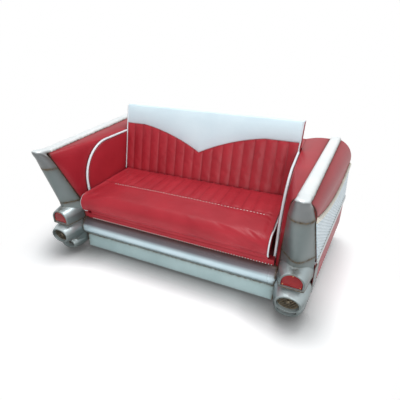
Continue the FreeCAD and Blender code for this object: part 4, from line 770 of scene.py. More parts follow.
white_leather = leather_finish("white_leather", (0.66, 0.81, 0.88), (0.73, 0.88, 0.94),
                               (0.32, 0.34, 0.34), 0.36)
white_low = back_border + hairline
white_up = white_low + crowded(44)[None] * (back_high - white_low)
above_border = white_up - white_low
below_top = back_high - white_up
white_depth = rolled(below_top, edge_round) + side_roll + border_dip * falloff(above_border, border_soft)
white_depth = white_depth - white_crown * ramp(above_border, 0.05) * ramp(below_top, 0.05)
white_face = on_back(back_x, white_up, white_depth)
white_rear = on_back(back_x, white_up, back_deep)
white_edge = np.minimum(np.minimum(above_border, below_top), side_gap)
white_face = filled(white_face, white_rear, 1 - ramp(white_edge, 0.014), white_swell)
# Painted shade: the white panel is darkened along the border with the red and down both sides.
white_edge_shade = np.maximum(0.7 * falloff(above_border, 0.003), 0.25 * falloff(side_gap, 0.004))
white_pad = slab("back_panel_cover", white_face, white_rear, white_edge_shade, 1, 60)
fitted(white_pad, white_leather, "white_leather", "sofa", "back_white_pad")
white_pad.data.materials.append(red_leather)
for polygon in white_pad.data.polygons:
    if abs(polygon.normal.x) > 0.8:
        polygon.material_index = 1

back_welt_radius, back_welt_inset, back_welt_short = 0.0042, 0.008, 0.012
back_welt_up = np.linspace(0, back_high - back_welt_short, 40)
back_welt_line = on_back(back_half - back_welt_inset, back_welt_up, -back_welt_radius - hairline)
for side, hand in hands:
    welt = welted(hand + "_back_welt", back_welt_line, back_welt_radius, side)
    fitted(welt, white_welt, "white_welt", "sofa", hand + "_back_piping")

# Arm pads: flat red leather panels with a quarter-round front corner, one inside each arm.
# A thick white welt is sewn along the front, the corner and the top.

arm_plane, arm_outer, arm_roll, rear_roll = 0.624, 0.644, 0.007, 0.017
arm_front, arm_top, arm_corner, arm_low = -0.2635, 0.732, 0.236, 0.2753
corner_y, corner_z = arm_front + arm_corner, arm_top - arm_corner
pad_inset, deepest_roll, pad_crown, crown_reach, pad_swell = 0.009, 0.0195, 0.003, 0.09, 0.004
pad_front, pad_top, pad_corner = arm_front + pad_inset, arm_top - pad_inset, arm_corner - pad_inset
rear_gap = 2 * back_welt_radius / math.cos(lean) + 0.002


def arm_rear(z):
    """Where the arm pad meets the leaning backrest."""
    return back_foot[1] + (z - back_foot[2]) * math.tan(lean) - rear_gap


pad_u = crowded(100)
past_corner = np.maximum(corner_y - pad_front - pad_u * (arm_rear(pad_top) - pad_front), 0)
pad_ceiling = corner_z + np.sqrt(np.maximum(pad_corner ** 2 - past_corner ** 2, 0))
pad_z = arm_low + crowded(60)[None] * (pad_ceiling - arm_low)[:, None]
pad_y = pad_front + pad_u[:, None] * (arm_rear(pad_z) - pad_front)
from_corner = pad_corner - np.hypot(np.minimum(pad_y - corner_y, 0), pad_z - corner_z)
from_front = np.where(pad_z > corner_z, from_corner, pad_y - pad_front)
from_edge = np.maximum(np.where(pad_y > corner_y, pad_top - pad_z, from_front), 0)
from_edge = np.minimum(from_edge, pad_y - pad_front)
from_rear = np.clip(arm_rear(pad_z) - pad_y, 0, rear_roll)
pad_roll = np.maximum(rolled(from_edge, arm_roll), rolled(from_rear, rear_roll))
pad_bow = pad_crown * ramp(from_edge, crown_reach) * ramp(from_rear, rear_roll)
arm_face = np.stack([arm_plane + np.minimum(pad_roll, deepest_roll) - pad_bow, pad_y, pad_z], -1)
arm_back = np.stack([np.full_like(pad_y, arm_outer), pad_y, pad_z], -1)
arm_held = 1 - ramp(np.minimum(np.minimum(from_edge, from_rear), pad_z - arm_low), 0.012)
arm_face = filled(arm_face, arm_back, arm_held, pad_swell)
# Painted shade: the pad is darkened along its welt and where it meets the backrest.
arm_edge_shade = np.maximum(0.7 * falloff(from_edge, 0.006), 0.5 * falloff(arm_rear(pad_z) - pad_y, 0.006))

arm_welt_radius, arm_welt_x = 0.0072, (arm_plane + arm_outer) / 2
arm_welt_path = np.concatenate([
    np.linspace((arm_front, arm_low), (arm_front, corner_z), 26)[:-1],
    circled((corner_y, corner_z), arm_corner, 180, 90, 48)[:-1],
    level_run(corner_y, arm_rear(pad_top), arm_top, 30)])
for side, hand in hands:
    pad = slab(hand + "_arm_pad_cover", arm_face, arm_back, arm_edge_shade, side, 50)
    fitted(pad, red_leather, "red_leather", "sofa", hand + "_arm_pad")
    welt = welted(hand + "_arm_welt", planar(arm_welt_x, arm_welt_path), arm_welt_radius, side, 16)
    fitted(welt, white_welt, "white_welt", "sofa", hand + "_arm_piping")

# Inner skins: formed sheet in gloss red paint, from the welt out to the fin strip and the silver trim.
# The edges under the strip and behind the trim are dark with grime.


def paint_finish(name, deep, full, gloss):
    """Gloss paint with a faint orange peel that goes brown in seams."""
    made, tree, shader = fresh_material(name)
    paint = ramped(tree, noise(tree, 3.5, 4), (0.3, deep), (0.72, full))
    stain_and_shade = ramped(tree, noise(tree, 80, 3), (0.35, (0.03, 0.012, 0.008)), (0.7, (0.08, 0.03, 0.02)))
    colour, wear_and_shade = seamed(tree, paint, stain_and_shade, ranged(tree, noise(tree, 45, 5), 0.7, 1.3, 0.3, 0.7))
    wired(tree, shader, {"Base Color": colour, "Roughness": ranged(tree, wear_and_shade, gloss, 0.7),
                         "Specular IOR Level": 0.18, "Coat Weight": 0.03, "Coat Roughness": 0.25})
    bumped(tree, shader, noise(tree, 180, 3), 0.0004, 0.1)
    return made


red_paint = paint_finish("red_paint", (0.31, 0.016, 0.026), (0.4, 0.024, 0.036), 0.38)

front_y, rear_y = -0.5275, 0.5275
lower_seam, upper_seam = 0.391, 0.661
lower_edge, upper_edge = -0.3235, -0.4345
fin_x, fin_drift, lamp_x, lamp_half = 0.726, 0.109, 0.752, 0.084
strip_base, strip_half, mount_plane, skin_rear = 0.756, 0.034, -0.3135, 0.5252


def between(low, high, part):
    """A value part of the way from one to another."""
    return low + (high - low) * part


def fin_line(y):
    """Middle of the fin across, which drifts outward to the rear."""
    return fin_x + fin_drift * (y - front_y) / (rear_y - front_y)


def end_plane(z):
    """Where the silver trim's rear edges stand at a height: they lean forward to the tip."""
    return between(lower_edge, upper_edge, (z - lower_seam) / (upper_seam - lower_seam))


def through(knots, steps, start=None, end=None):
    """Points on a smooth curve through knots; start and end may give its first and last direction."""
    knots = np.asarray(knots, float)
    place = run_along(knots)
    chord = np.diff(place)
    legs = np.diff(knots, axis=0)
    count = len(knots)
    system, known = np.zeros((count, count)), np.zeros((count, 3))
    for k in range(1, count - 1):
        system[k, k - 1:k + 2] = 1 / chord[k - 1], 2 / chord[k - 1] + 2 / chord[k], 1 / chord[k]
        known[k] = 3 * (legs[k - 1] / chord[k - 1] ** 2 + legs[k] / chord[k] ** 2)
    system[0, :2] = (2, 1) if start is None else (1, 0)
    system[-1, -2:] = (1, 2) if end is None else (0, 1)
    known[0] = 3 * legs[0] / chord[0] if start is None else start / np.linalg.norm(start)
    known[-1] = 3 * legs[-1] / chord[-1] if end is None else end / np.linalg.norm(end)
    slopes = np.linalg.solve(system, known)
    at = np.asarray(steps) * place[-1]
    span = np.clip(np.searchsorted(place, at, side="right") - 1, 0, count - 2)
    part = ((at - place[span]) / chord[span])[:, None]
    leave = (part ** 3 - 2 * part ** 2 + part) * slopes[span] + (part ** 3 - part ** 2) * slopes[span + 1]
    turn = 3 * part ** 2 - 2 * part ** 3
    return (1 - turn) * knots[span] + turn * knots[span + 1] + leave * chord[span][:, None]


skin_x, skin_rise, skin_low, skin_foot = 0.6443, 0.003, 0.2516, -0.2785
skin_wall, skin_bulge, skin_gap, skin_tuck, skin_bend = 0.003, 0.008, 0.0045, 0.003, 0.022
tongue_start, tongue_tall, tongue_drop, flange_steps = 0.86, 0.05, 0.034, (0.006, 0.019)
waist_z, waist_half, trim_top_x, trim_top_half = 0.725, 0.047, 0.737, 0.06
waist_x = fin_line(end_plane(waist_z))
cap_foot = between(upper_seam, waist_z, 0.6)
cap_foot_x = between(trim_top_x - trim_top_half, waist_x - waist_half, 0.6)
inner_lower_x = lamp_x - lamp_half
skin_columns = 26


def rail_points(first, bend, last):
    """Points along two straight runs with a bend between them."""
    return np.concatenate([np.linspace(first[0], first[1], 41)[:-1], bend[:-1],
                           np.linspace(last[0], last[1], 21)[:-1], np.linspace(last[1], last[2], 11)])


def inner_rail(inset):
    """The skin's edge along the welt, moved into the arm by an inset."""
    top, nose = arm_top + skin_rise - inset, arm_front - skin_rise + inset
    bend = circled((corner_y, corner_z), arm_corner + skin_rise - inset, 90, 180, 48)
    first = planar(skin_x, line_of((skin_rear, top), (corner_y, top)))
    last = planar(skin_x, line_of((nose, corner_z), (nose, lower_seam), (skin_foot + inset, skin_low)))
    return rail_points(first, planar(skin_x, bend), last)


def outer_rail(inset):
    """The skin's edge under the strip and behind the trim, moved into the arm by an inset."""
    under, behind = strip_base - 2 * hairline - inset, skin_gap + inset
    bend_y, bend_step = end_plane(strip_base) + skin_bend, skin_bend * 0.3
    bend_z = under - bend_step
    tuck_in = strip_half - skin_tuck
    first = line_of((fin_line(skin_rear) - tuck_in, skin_rear, under),
                    (fin_line(bend_y) - tuck_in, bend_y, under))
    last = line_of((cap_foot_x, end_plane(cap_foot) + behind, cap_foot),
                   (inner_lower_x, lower_edge + behind, lower_seam),
                   (inner_lower_x, mount_plane + behind, skin_low))
    middle = line_of(((first[1, 0] + last[0, 0]) / 2, end_plane(bend_z) + behind + bend_step, bend_z))
    bend = through(np.concatenate([first[1:], middle, last[:1]]), even(48))
    return rail_points(first, bend, last)


def skin_grid(inset):
    """The sheet between its rails, bulged a little, flanged past the outer one and dropped past the bar."""
    inner, outer = inner_rail(inset), outer_rail(inset)
    part = crowded(skin_columns)
    grid = inner[:, None] + (outer - inner)[:, None] * part[None, :, None]
    normal = np.cross(np.gradient(grid, axis=0), np.gradient(grid, axis=1))
    normal /= np.linalg.norm(normal, axis=2, keepdims=True)
    grid = grid + skin_bulge * np.sin(np.pi * part)[None, :, None] * normal
    flange = outer[:, None] + line_of(*flange_steps)[None, :, None] * x_way
    grid = np.concatenate([grid, flange], 1)
    past_bar = np.append(ramp(part - tongue_start, 0.02), (1, 1))
    grid[..., 2] -= tongue_drop * past_bar * ramp(skin_low + tongue_tall - grid[..., 2], tongue_tall)
    return grid


skin_face, skin_back = skin_grid(0), skin_grid(skin_wall)
skin_span = np.linalg.norm(skin_face[:, skin_columns] - skin_face[:, 0], axis=1)[:, None]
across_skin = np.append(crowded(skin_columns), (1, 1))[None]
skin_wear = np.maximum(seam_darkened(skin_span * (1 - across_skin)), 0.6 * falloff(skin_span * across_skin, 0.004))


def mirrored(name, face, back, darkening, finish, slot, node, crease=40):
    """A sheet on both arms, painted, fixed to the sofa and standing for its CAD nodes."""
    for side, hand in hands:
        piece = slab(f"{hand}_{name}", face, back, darkening, side, crease)
        fitted(piece, finish, slot, "sofa", f"{hand}_{node}")


mirrored("arm_skin", skin_face, skin_back, skin_wear, red_paint, "red_paint", "fin_inner_skin", 50)

# Fins: a pale strip along the top runs into a cap that bends over the tip and down to the trim.
# All three are silver-painted sheet of one rounded section, butted at seams that hold a brown wash.


def nose_section(base, half, crown, full, inset=0):
    """A nose-shaped curve across a base point and over a crown in y and z, drawn in by an inset."""
    base, across, up = line_of(*base), line_of(half - inset, 0, 0), line_of(0, *crown)
    up = up * (1 - inset / np.linalg.norm(up))
    return through([base - across, base - across * full + up * full, base + up,
                    base + across * full + up * full, base + across], crowded(36))


trim_low_deep, trim_top_deep, trim_low_full, trim_top_full = 0.089, 0.054, 0.57, 0.69
waist_deep, strip_tall, strip_full, tip_front, tip_tall = 0.05, 0.018, 0.76, -0.5304, 0.023
cap_rear, sheet = -0.4325, 0.0025


def trim_section(z, inset=0):
    """The trim's section at a height between its two seams."""
    part = (z - lower_seam) / (upper_seam - lower_seam)
    return nose_section((between(lamp_x, trim_top_x, part), end_plane(z), z),
                        between(lamp_half, trim_top_half, part),
                        (-between(trim_low_deep, trim_top_deep, part), 0),
                        between(trim_low_full, trim_top_full, part), inset)


def strip_section(y, inset=0):
    """The strip's section on top of the fin."""
    return nose_section((fin_line(y), y, strip_base), strip_half, (0, strip_tall), strip_full, inset)


def cap_rows(inset):
    """The cap from the trim's upper seam, bent over the tip and back along the strip."""
    waist = nose_section((waist_x, end_plane(waist_z), waist_z), waist_half, (-waist_deep, 0),
                         trim_top_full, inset)
    tip_y = end_plane(strip_base)
    tip = nose_section((fin_line(tip_y), tip_y, strip_base), strip_half, (tip_front - tip_y, tip_tall),
                       strip_full, inset)
    rails = []
    for knots in zip(trim_section(upper_seam, inset), waist, tip, strip_section(cap_rear, inset)):
        bent = through(knots[1:], even(34), knots[1] - knots[0], line_of(0, 1, 0))
        rails.append(np.concatenate([np.linspace(knots[0], knots[1], 17)[:-1], bent]))
    return np.stack(rails, 1)


def edge_run(grid):
    """How far each point lies from the nearer long edge, along its own section."""
    run = np.stack([run_along(row) for row in grid])
    return np.minimum(run, run[:, -1:] - run)


trim_heights = between(lower_seam + hairline, upper_seam - hairline, crowded(44))
trim_face = np.stack([trim_section(z) for z in trim_heights])
trim_back = np.stack([trim_section(z, sheet) for z in trim_heights])
trim_ends = np.minimum(trim_heights - lower_seam, upper_seam - trim_heights)[:, None]
trim_wear = np.maximum(seam_darkened(trim_ends), 0.8 * seam_darkened(edge_run(trim_face)))
cap_face, cap_back = cap_rows(0), cap_rows(sheet)
cap_wear = np.maximum(seam_darkened(run_along(cap_face[:, 18])[:, None]), 0.55 * seam_darkened(edge_run(cap_face)))
strip_along = np.linspace(cap_rear + hairline, rear_y, 60)
strip_face = np.stack([strip_section(y) for y in strip_along])
strip_back = np.stack([strip_section(y, sheet) for y in strip_along])
strip_wear = 0.8 * seam_darkened(edge_run(strip_face))
pale_strip = silver_finish("pale_strip", (0.82, 0.87, 0.88), (0.9, 0.93, 0.93), 0.1, 0.3)
# The cap's silver holds painted light: its top is painted pale as a highlight and its front and underside
# are painted dark as shade.
cap_silver = silver_finish("cap_silver", (0.78, 0.84, 0.85), (0.86, 0.91, 0.92), 0.3, 0.32,
                           (0.15, (0.2, 0.2, 0.2)), (0.9, (1, 1, 1)))
mirrored("tail_trim", trim_face, trim_back, trim_wear, silver_paint, "silver_paint", "fin_trim")
mirrored("tail_cap", cap_face, cap_back, cap_wear, cap_silver, "silver_paint", "fin_cap")
mirrored("tail_strip", strip_face, strip_back, strip_wear, pale_strip, "pale_strip", "fin_strip")

# Outer sides: a red painted panel with a rolled shoulder, a sill below it and a silver wrap at its front.
# The rear sheet and the shelf behind the backrest are in the same red.

sill_top, sill_low, sill_flare, sill_return = 0.336, 0.14, 0.009, 0.025
side_base, side_spread, side_lean, side_wall = 0.8, 0.157, 0.082, 0.002
wrap_top, wrap_long, wrap_thick = 0.318, 0.1, 0.0025
wrap_front = mount_plane + 2 * hairline
panel_gap, panel_flange, sill_bend = 0.004, (0.014, 0.007), 0.003
front_shoulder, rear_shoulder = (0.044, 0.738, 0.6696), (0.077, 0.727, 0.6116)


def side_x(y, z):
    """How far out the flat of the side stands at a depth and height."""
    return side_base + side_spread * (y - upper_edge) + side_lean * (upper_seam - z)


def circle_middle(first, second, third):
    """The middle of the circle through three points, and its axis."""
    a, b = second - first, third - first
    axis = np.cross(a, b)
    way = np.cross(axis, a) * b.dot(b) + np.cross(b, axis) * a.dot(a)
    return first + way / (2 * axis.dot(axis)), axis


def arc_through(first, second, third, steps):
    """Points on the circle through three points."""
    middle, axis = circle_middle(first, second, third)
    east = first - middle
    north = np.cross(axis / np.linalg.norm(axis), east)
    span = math.atan2((third - middle).dot(north), (third - middle).dot(east)) % (2 * math.pi)
    turns = np.asarray(steps)[:, None] * span
    return middle + np.cos(turns) * east + np.sin(turns) * north


def side_section(station, shoulder_out, shoulder_z, break_z, inset):
    """The panel's section: a rolled shoulder above the flat; station gives the depth at a height."""
    top_z, low_z = strip_base - 2 * hairline, sill_top + hairline
    top_y, shoulder_y, fold_y, foot_y = (station(z) for z in (top_z, shoulder_z, break_z, low_z))
    top = line_of(fin_line(top_y) + strip_half - panel_gap - 0.5 * inset, top_y, top_z - inset)
    shoulder = line_of(fin_line(shoulder_y) + shoulder_out - 0.8 * inset, shoulder_y,
                       shoulder_z - 0.6 * inset)
    fold = line_of(side_x(fold_y, break_z) - inset, fold_y, break_z)
    foot = line_of(side_x(foot_y, low_z) - inset, foot_y, low_z)
    return np.concatenate([arc_through(top, shoulder, fold, crowded(24))[:-1], np.linspace(fold, foot, 40)])


def panel_grid(inset):
    """The side panel from its front edge behind the trim to its rear edge."""
    ahead = side_section(lambda z: end_plane(z) + panel_gap, *front_shoulder, inset)
    behind = side_section(lambda z: skin_rear, *rear_shoulder, inset)
    turned = ahead - line_of(*panel_flange)[:, None, None] * x_way
    return np.concatenate([turned, ahead + crowded(50)[:, None, None] * (behind - ahead)])


def sill_grid(inset):
    """The lower side: a flat that flares a little and turns under."""
    rows, low = [], sill_low + inset
    for y in between(wrap_front, skin_rear, crowded(40)):
        top_x = side_x(y, sill_top)
        foot_x = top_x + sill_flare
        flat = np.linspace((top_x - inset, y, sill_top), (foot_x - inset, y, low), 24)
        under = np.linspace((foot_x - sill_bend, y, low), (foot_x - sill_return, y, low), 5)
        rows.append(np.concatenate([flat, under]))
    return np.stack(rows)


def wrap_grid(out):
    """A short sheet over the front of the sill that carries the bumper end round the corner."""
    stations, heights = wrap_front + crowded(24) * wrap_long, np.linspace(wrap_top, sill_low, 30)
    y, z = np.meshgrid(stations, heights, indexing="ij")
    flare = sill_flare * (sill_top - z) / (sill_top - sill_low)
    return np.stack([side_x(y, sill_top) + flare + out, y, z], -1)


panel_face, panel_back = panel_grid(0), panel_grid(side_wall)
panel_run = np.linalg.norm(panel_face - panel_face[2:3], axis=2)
panel_wear = np.maximum(seam_darkened(panel_run), seam_darkened(edge_run(panel_face)))
sill_face, sill_back = sill_grid(0), sill_grid(side_wall)
sill_wear = 0.6 * np.maximum(seam_darkened(sill_top - sill_face[..., 2]), seam_darkened(sill_face[..., 1] - mount_plane))
wrap_face, wrap_back = wrap_grid(hairline + wrap_thick), wrap_grid(hairline)
wrap_wear = seam_darkened(np.minimum(wrap_top - wrap_face[..., 2], wrap_front + wrap_long - wrap_face[..., 1]))
mirrored("outer_panel", panel_face, panel_back, panel_wear, red_paint, "red_paint", "side_panel")
mirrored("sill_sheet", sill_face, sill_back, sill_wear, red_paint, "red_paint", "sill_panel")
mirrored("bumper_wrap_sheet", wrap_face, wrap_back, wrap_wear, silver_paint, "silver_paint", "bumper_wrap")
dressed(red_paint, "rear_panel", "rear_shelf")

# Side trim: a cream half-round moulding that sweeps down and back, a twin steel moulding below,
# and between them a pressed sheet of slanted flutes in pale blue paint.

flat_origin = line_of(side_x(upper_edge, upper_seam), upper_edge, upper_seam)
flat_u = line_of(side_spread, 1, 0) / math.hypot(side_spread, 1)
flat_n = line_of(1, -side_spread, side_lean)
flat_n /= np.linalg.norm(flat_n)
flat_v = np.cross(flat_n, flat_u)


def on_flat(y, z):
    """How far along and up the flat side a depth and height lie."""
    along = line_of(side_x(y, z), y, z) - flat_origin
    return line_of(along.dot(flat_u), along.dot(flat_v))


def off_flat(plan, out):
    """Places on the side from their run along it, their height up it and how far they stand out."""
    out = np.broadcast_to(out, plan.shape[:2])[..., None]
    return flat_origin + plan[..., :1] * flat_u + plan[..., 1:2] * flat_v + out * flat_n


bead_half, bead_tall, trim_gap = 0.014, 0.011, 0.0046
bead_front_z, bead_low_z, bead_rear_z = 0.655, 0.566, 0.597
bead_front, bead_rear = end_plane(bead_front_z) + trim_gap, skin_rear - panel_gap
bead_spots = ((bead_front, bead_front_z), (0, bead_low_z), (bead_rear, bead_rear_z))
bead_knots = [np.append(on_flat(y, z), 0) for y, z in bead_spots]
bead_middle = circle_middle(*bead_knots)[0][:2]
bead_radius = np.linalg.norm(bead_knots[0][:2] - bead_middle)
spokes = (arc_through(*bead_knots, even(80))[:, :2] - bead_middle) / bead_radius
bow = np.linspace(0, np.pi, 17)
bead_plan = bead_middle + spokes[:, None] * (bead_radius - bead_half * np.cos(bow))[None, :, None]
bead_face = off_flat(bead_plan, hairline + bead_tall * np.sin(bow))
bead_base = off_flat(bead_plan, hairline)
bead_wear = 0.6 * seam_darkened(edge_run(bead_face) + 0.001)
cream_trim = silver_finish("cream_trim", (0.74, 0.73, 0.62), (0.82, 0.81, 0.7), 0.05, 0.35)

twin_half, twin_height, twin_base, twin_tall = 0.016, 0.35, 0.003, 0.0075
twin_start = on_flat(end_plane(twin_height) + panel_gap, twin_height)
twin_end = on_flat(bead_rear, twin_height)
twin = np.linspace(-1, 1, 33)
twin_round = np.sqrt(np.maximum(1 - (2 * np.abs(twin) - 1) ** 2, 0))
twin_out = hairline + twin_base * (1 - np.abs(twin)) + twin_tall * twin_round
twin_across = np.stack([0 * twin, twin * twin_half], -1)[None]
twin_plan = between(twin_start, twin_end, even(30)[:, None, None]) + twin_across
twin_face, twin_back = off_flat(twin_plan, twin_out), off_flat(twin_plan, hairline)
from_groove = np.abs(twin) * twin_half
twin_wear = np.maximum(falloff(twin_half - from_groove, 0.0015), 0.8 * falloff(from_groove, 0.0015))
twin_wear = np.broadcast_to(twin_wear, twin_plan.shape[:2])
steel_trim = silver_finish("steel_trim", (0.58, 0.62, 0.63), (0.68, 0.72, 0.73), 0.4, 0.28)

flute_pitch, flute_tall, flute_base, flute_slope = 0.016, 0.003, 0.002, math.radians(30)
flute_steps = 10
run_way = line_of(math.cos(flute_slope), -math.sin(flute_slope))
step_way = line_of(math.sin(flute_slope), math.cos(flute_slope))
insert_top = bead_radius + bead_half + hairline
insert_low = twin_start[1] + twin_half + hairline
insert_front = on_flat(end_plane(twin_height + twin_half) + trim_gap, twin_height)[0]
insert_rear = bead_knots[2][0]
rear_top = bead_middle[1] - math.sqrt(insert_top ** 2 - (insert_rear - bead_middle[0]) ** 2)
front_top = bead_middle + spokes[0] * insert_top


def front_edge(height):
    """The insert's front edge, which leans with the trim."""
    return between(insert_front, front_top[0], (height - insert_low) / (front_top[1] - insert_low))


insert_corners = line_of(front_top, (insert_front, insert_low), (insert_rear, insert_low),
                         (insert_rear, rear_top))
ridge_low, ridge_high = (insert_corners @ step_way).min(), (insert_corners @ step_way).max()
flute_lines, flute_heights = [], []
for ridge in np.arange(ridge_low + 0.0005, ridge_high, flute_pitch / flute_steps):
    trail = ridge * step_way + np.linspace(-0.6, 1.6, 2201)[:, None] * run_way
    along, up = trail.T
    within = (up > insert_low) & (along < insert_rear) & (along > front_edge(up))
    within &= np.linalg.norm(trail - bead_middle, axis=1) > insert_top
    if within.sum() < 4:
        continue
    inside_run = trail[within]
    flute_lines.append(np.linspace(inside_run[0], inside_run[-1], 9))
    crest = 0.5 - 0.5 * math.cos(2 * math.pi * (ridge - ridge_low) / flute_pitch)
    flute_heights.append(hairline + flute_base + flute_tall * crest ** 0.7)
flute_plan = np.stack(flute_lines)
flute_out = np.broadcast_to(np.array(flute_heights)[:, None], flute_plan.shape[:2])
flute_face, flute_back = off_flat(flute_plan, flute_out), off_flat(flute_plan, hairline)
flute_wear = 0.15 * (1 - (flute_out - flute_out.min()) / np.ptp(flute_out)) ** 3
fluted_blue = silver_finish("fluted_blue", (0.56, 0.69, 0.76), (0.64, 0.77, 0.83), 0.1, 0.3)
mirrored("upper_bead", bead_face, bead_base, bead_wear, cream_trim, "cream_trim", "upper_moulding")
mirrored("twin_bead", twin_face, twin_back, twin_wear, steel_trim, "steel_trim", "lower_moulding")
mirrored("fluted_sheet", flute_face, flute_back, flute_wear, fluted_blue, "fluted_blue", "fluted_insert", 70)

# Tail lamps: a silver hood that swells out of the mount plate and blends up into a pointed collar.
# A red plastic lens is let into its mouth and held by three small brass screws.


def brick(name, depths, heights, side):
    """A box that cuts a form off flat, as wide as the lamp and more."""
    inner, outer = 0.6, 0.95
    near, far = depths
    ring = line_of((inner, near), (outer, near), (outer, far), (inner, far))
    rings = np.stack([np.concatenate([ring, np.full((4, 1), z)], 1) for z in heights])
    return ringed(name, [rings], side)


def grown_together(name, solids, voxel, cuts):
    """One smooth skin over overlapping solids, with pockets cut into it."""
    form = bmesh.new()
    for solid in solids:
        form.from_mesh(solid.data)
        bpy.data.objects.remove(solid)
    mesh = bpy.data.meshes.new(name)
    form.to_mesh(mesh)
    form.free()
    piece = bpy.data.objects.new(name, mesh)
    scene.collection.objects.link(piece)
    skin = piece.modifiers.new("skin", "REMESH")
    skin.mode = "VOXEL"
    skin.voxel_size = voxel
    eased = piece.modifiers.new("eased", "SMOOTH")
    eased.iterations = 8
    for cut in cuts:
        pocket = piece.modifiers.new("pocket", "BOOLEAN")
        pocket.operation = "DIFFERENCE"
        pocket.object = cut
        pocket.solver = "EXACT"
    made = bpy.data.meshes.new_from_object(piece.evaluated_get(bpy.context.evaluated_depsgraph_get()))
    for spent in (piece, *cuts):
        bpy.data.objects.remove(spent)
    return settled(name, made, 35)


def oval(y, x, z, half, tall, count=64):
    """Points round an upright oval."""
    turns = np.linspace(0, 2 * np.pi, count, endpoint=False)
    return np.stack([x + half * np.cos(turns), np.full(count, y), z + tall * np.sin(turns)], -1)


hood_front, hood_rim, hood_shoulder, hood_high, flare_long = -0.4515, 0.01, 0.3, 0.366, 0.06
lens_half, lens_low, lens_shoulder, lens_high = 0.052, 0.26, 0.29, 0.338
lens_front, lens_thick, lens_play = -0.4445, 0.009, 0.0008
lamp_low, cut_spare, cut_front, cut_rear, cut_high = 0.25, 0.012, -0.6, -0.2, 0.5
valley_z, collar_inset, collar_long, hood_voxel = 0.352, 0.004, 0.137, 0.003


def arch(y, half, low, shoulder, high):
    """An upright section with a flat base, straight flanks and an arched top, round the lamp's middle."""
    base = np.linspace((lamp_x - half, y, low), (lamp_x + half, y, low), 25)[:-1]
    flank = np.linspace((lamp_x + half, y, low), (lamp_x + half, y, shoulder), 9)[:-1]
    crown = arc_through(line_of(lamp_x + half, y, shoulder), line_of(lamp_x, y, high),
                        line_of(lamp_x - half, y, shoulder), even(40))[:-1]
    return np.concatenate([base, flank, crown, (flank * (-1, 1, 1) + (2 * lamp_x, 0, 0))[::-1]])


def flared(ring, half):
    """A ring whose outer flank runs out to meet the side near the mount plate."""
    near = np.clip(1 - (mount_plane - ring[:, 1]) / flare_long, 0, 1) ** 2
    out = ramp(ring[:, 0] - lamp_x, half) ** 2
    spare = side_x(mount_plane, ring[:, 2]) - 0.004 - lamp_x - lamp_half
    return ring + (near * out * spare)[:, None] * x_way


def hood_rings():
    """The hood from the mount plate to its rim."""
    rings = []
    for y in np.linspace(mount_plane + cut_spare, hood_front, 26):
        swell = max((y - mount_plane) / (hood_front - mount_plane), 0) ** 2
        half = between(lamp_half, lens_half + hood_rim, swell)
        ring = arch(y, half, lamp_low - cut_spare, between(hood_shoulder, lens_shoulder, swell),
                    between(hood_high, lens_high + hood_rim, swell))
        rings.append(flared(ring, half))
    return np.stack(rings)


def collar_rings():
    """The collar down from the trim's lower seam: closed nose-shaped sections, a little smaller below."""
    rings, rear = [], mount_plane + cut_spare
    for z in np.linspace(lower_seam + cut_spare, lamp_low + 0.004, 20):
        inset = collar_inset * ramp(lower_seam - z, collar_long)
        half = lamp_half - inset
        nose = nose_section((lamp_x, lower_edge, z), half, (inset - trim_low_deep, 0), trim_low_full)
        flank = np.linspace((lamp_x + half, lower_edge, z), (lamp_x + half, rear, z), 5)[1:]
        back = np.linspace((lamp_x + half, rear, z), (lamp_x - half, rear, z), 20)[1:]
        other = (flank * (-1, 1, 1) + (2 * lamp_x, 0, 0))[-2::-1]
        rings.append(flared(np.concatenate([nose, flank, back, other]), half))
    return np.stack(rings)


def lens_rings(*places):
    """The lens's arched outline at depths behind its face, each drawn in by an inset."""
    return np.stack([arch(lens_front + depth, lens_half - inset, lens_low + inset, lens_shoulder,
                          lens_high - inset) for depth, inset in places])


red_lens, tree, shader = fresh_material("red_lens")
ribs = added(tree, "TexWave", {"Vector": added(tree, "TexCoord").outputs["Object"], "Scale": 55},
             bands_direction="X")
lens_red = ramped(tree, noise(tree, 20, 3), (0.3, (0.2, 0.004, 0.006)), (0.7, (0.3, 0.009, 0.011)))
wired(tree, shader, {"Base Color": lens_red, "Roughness": ranged(tree, noise(tree, 90), 0.16, 0.3),
                     "Specular IOR Level": 0.25, "Coat Weight": 0.08, "Coat Roughness": 0.1})
bumped(tree, shader, ribs.outputs["Fac"], 0.0006, 0.25)
brass = plain_finish("screw_brass", (600, 3), (0.3, (0.42, 0.28, 0.09)), (0.7, (0.72, 0.54, 0.24)),
                     (0.25, 0.5), 0.9)


def spots_of(mesh, side):
    """A mesh's points as rows of x, y and z, as they lie on the right."""
    return (np.array([vertex.co for vertex in mesh.vertices]) * (side, 1, 1)).T


def lamp_wash_and_shade(x, y, z):
    """Brown wash along the seam under the trim, painted shade in the valley over the hood, and brown wash
    with a painted shadow line at its foot.
    """
    valley = 0.75 * dipped(z - valley_z, 0.012) * dipped(x - lamp_x, 0.03)
    return np.maximum.reduce([seam_darkened(lower_seam - z), valley, seam_darkened(z - lamp_low)])


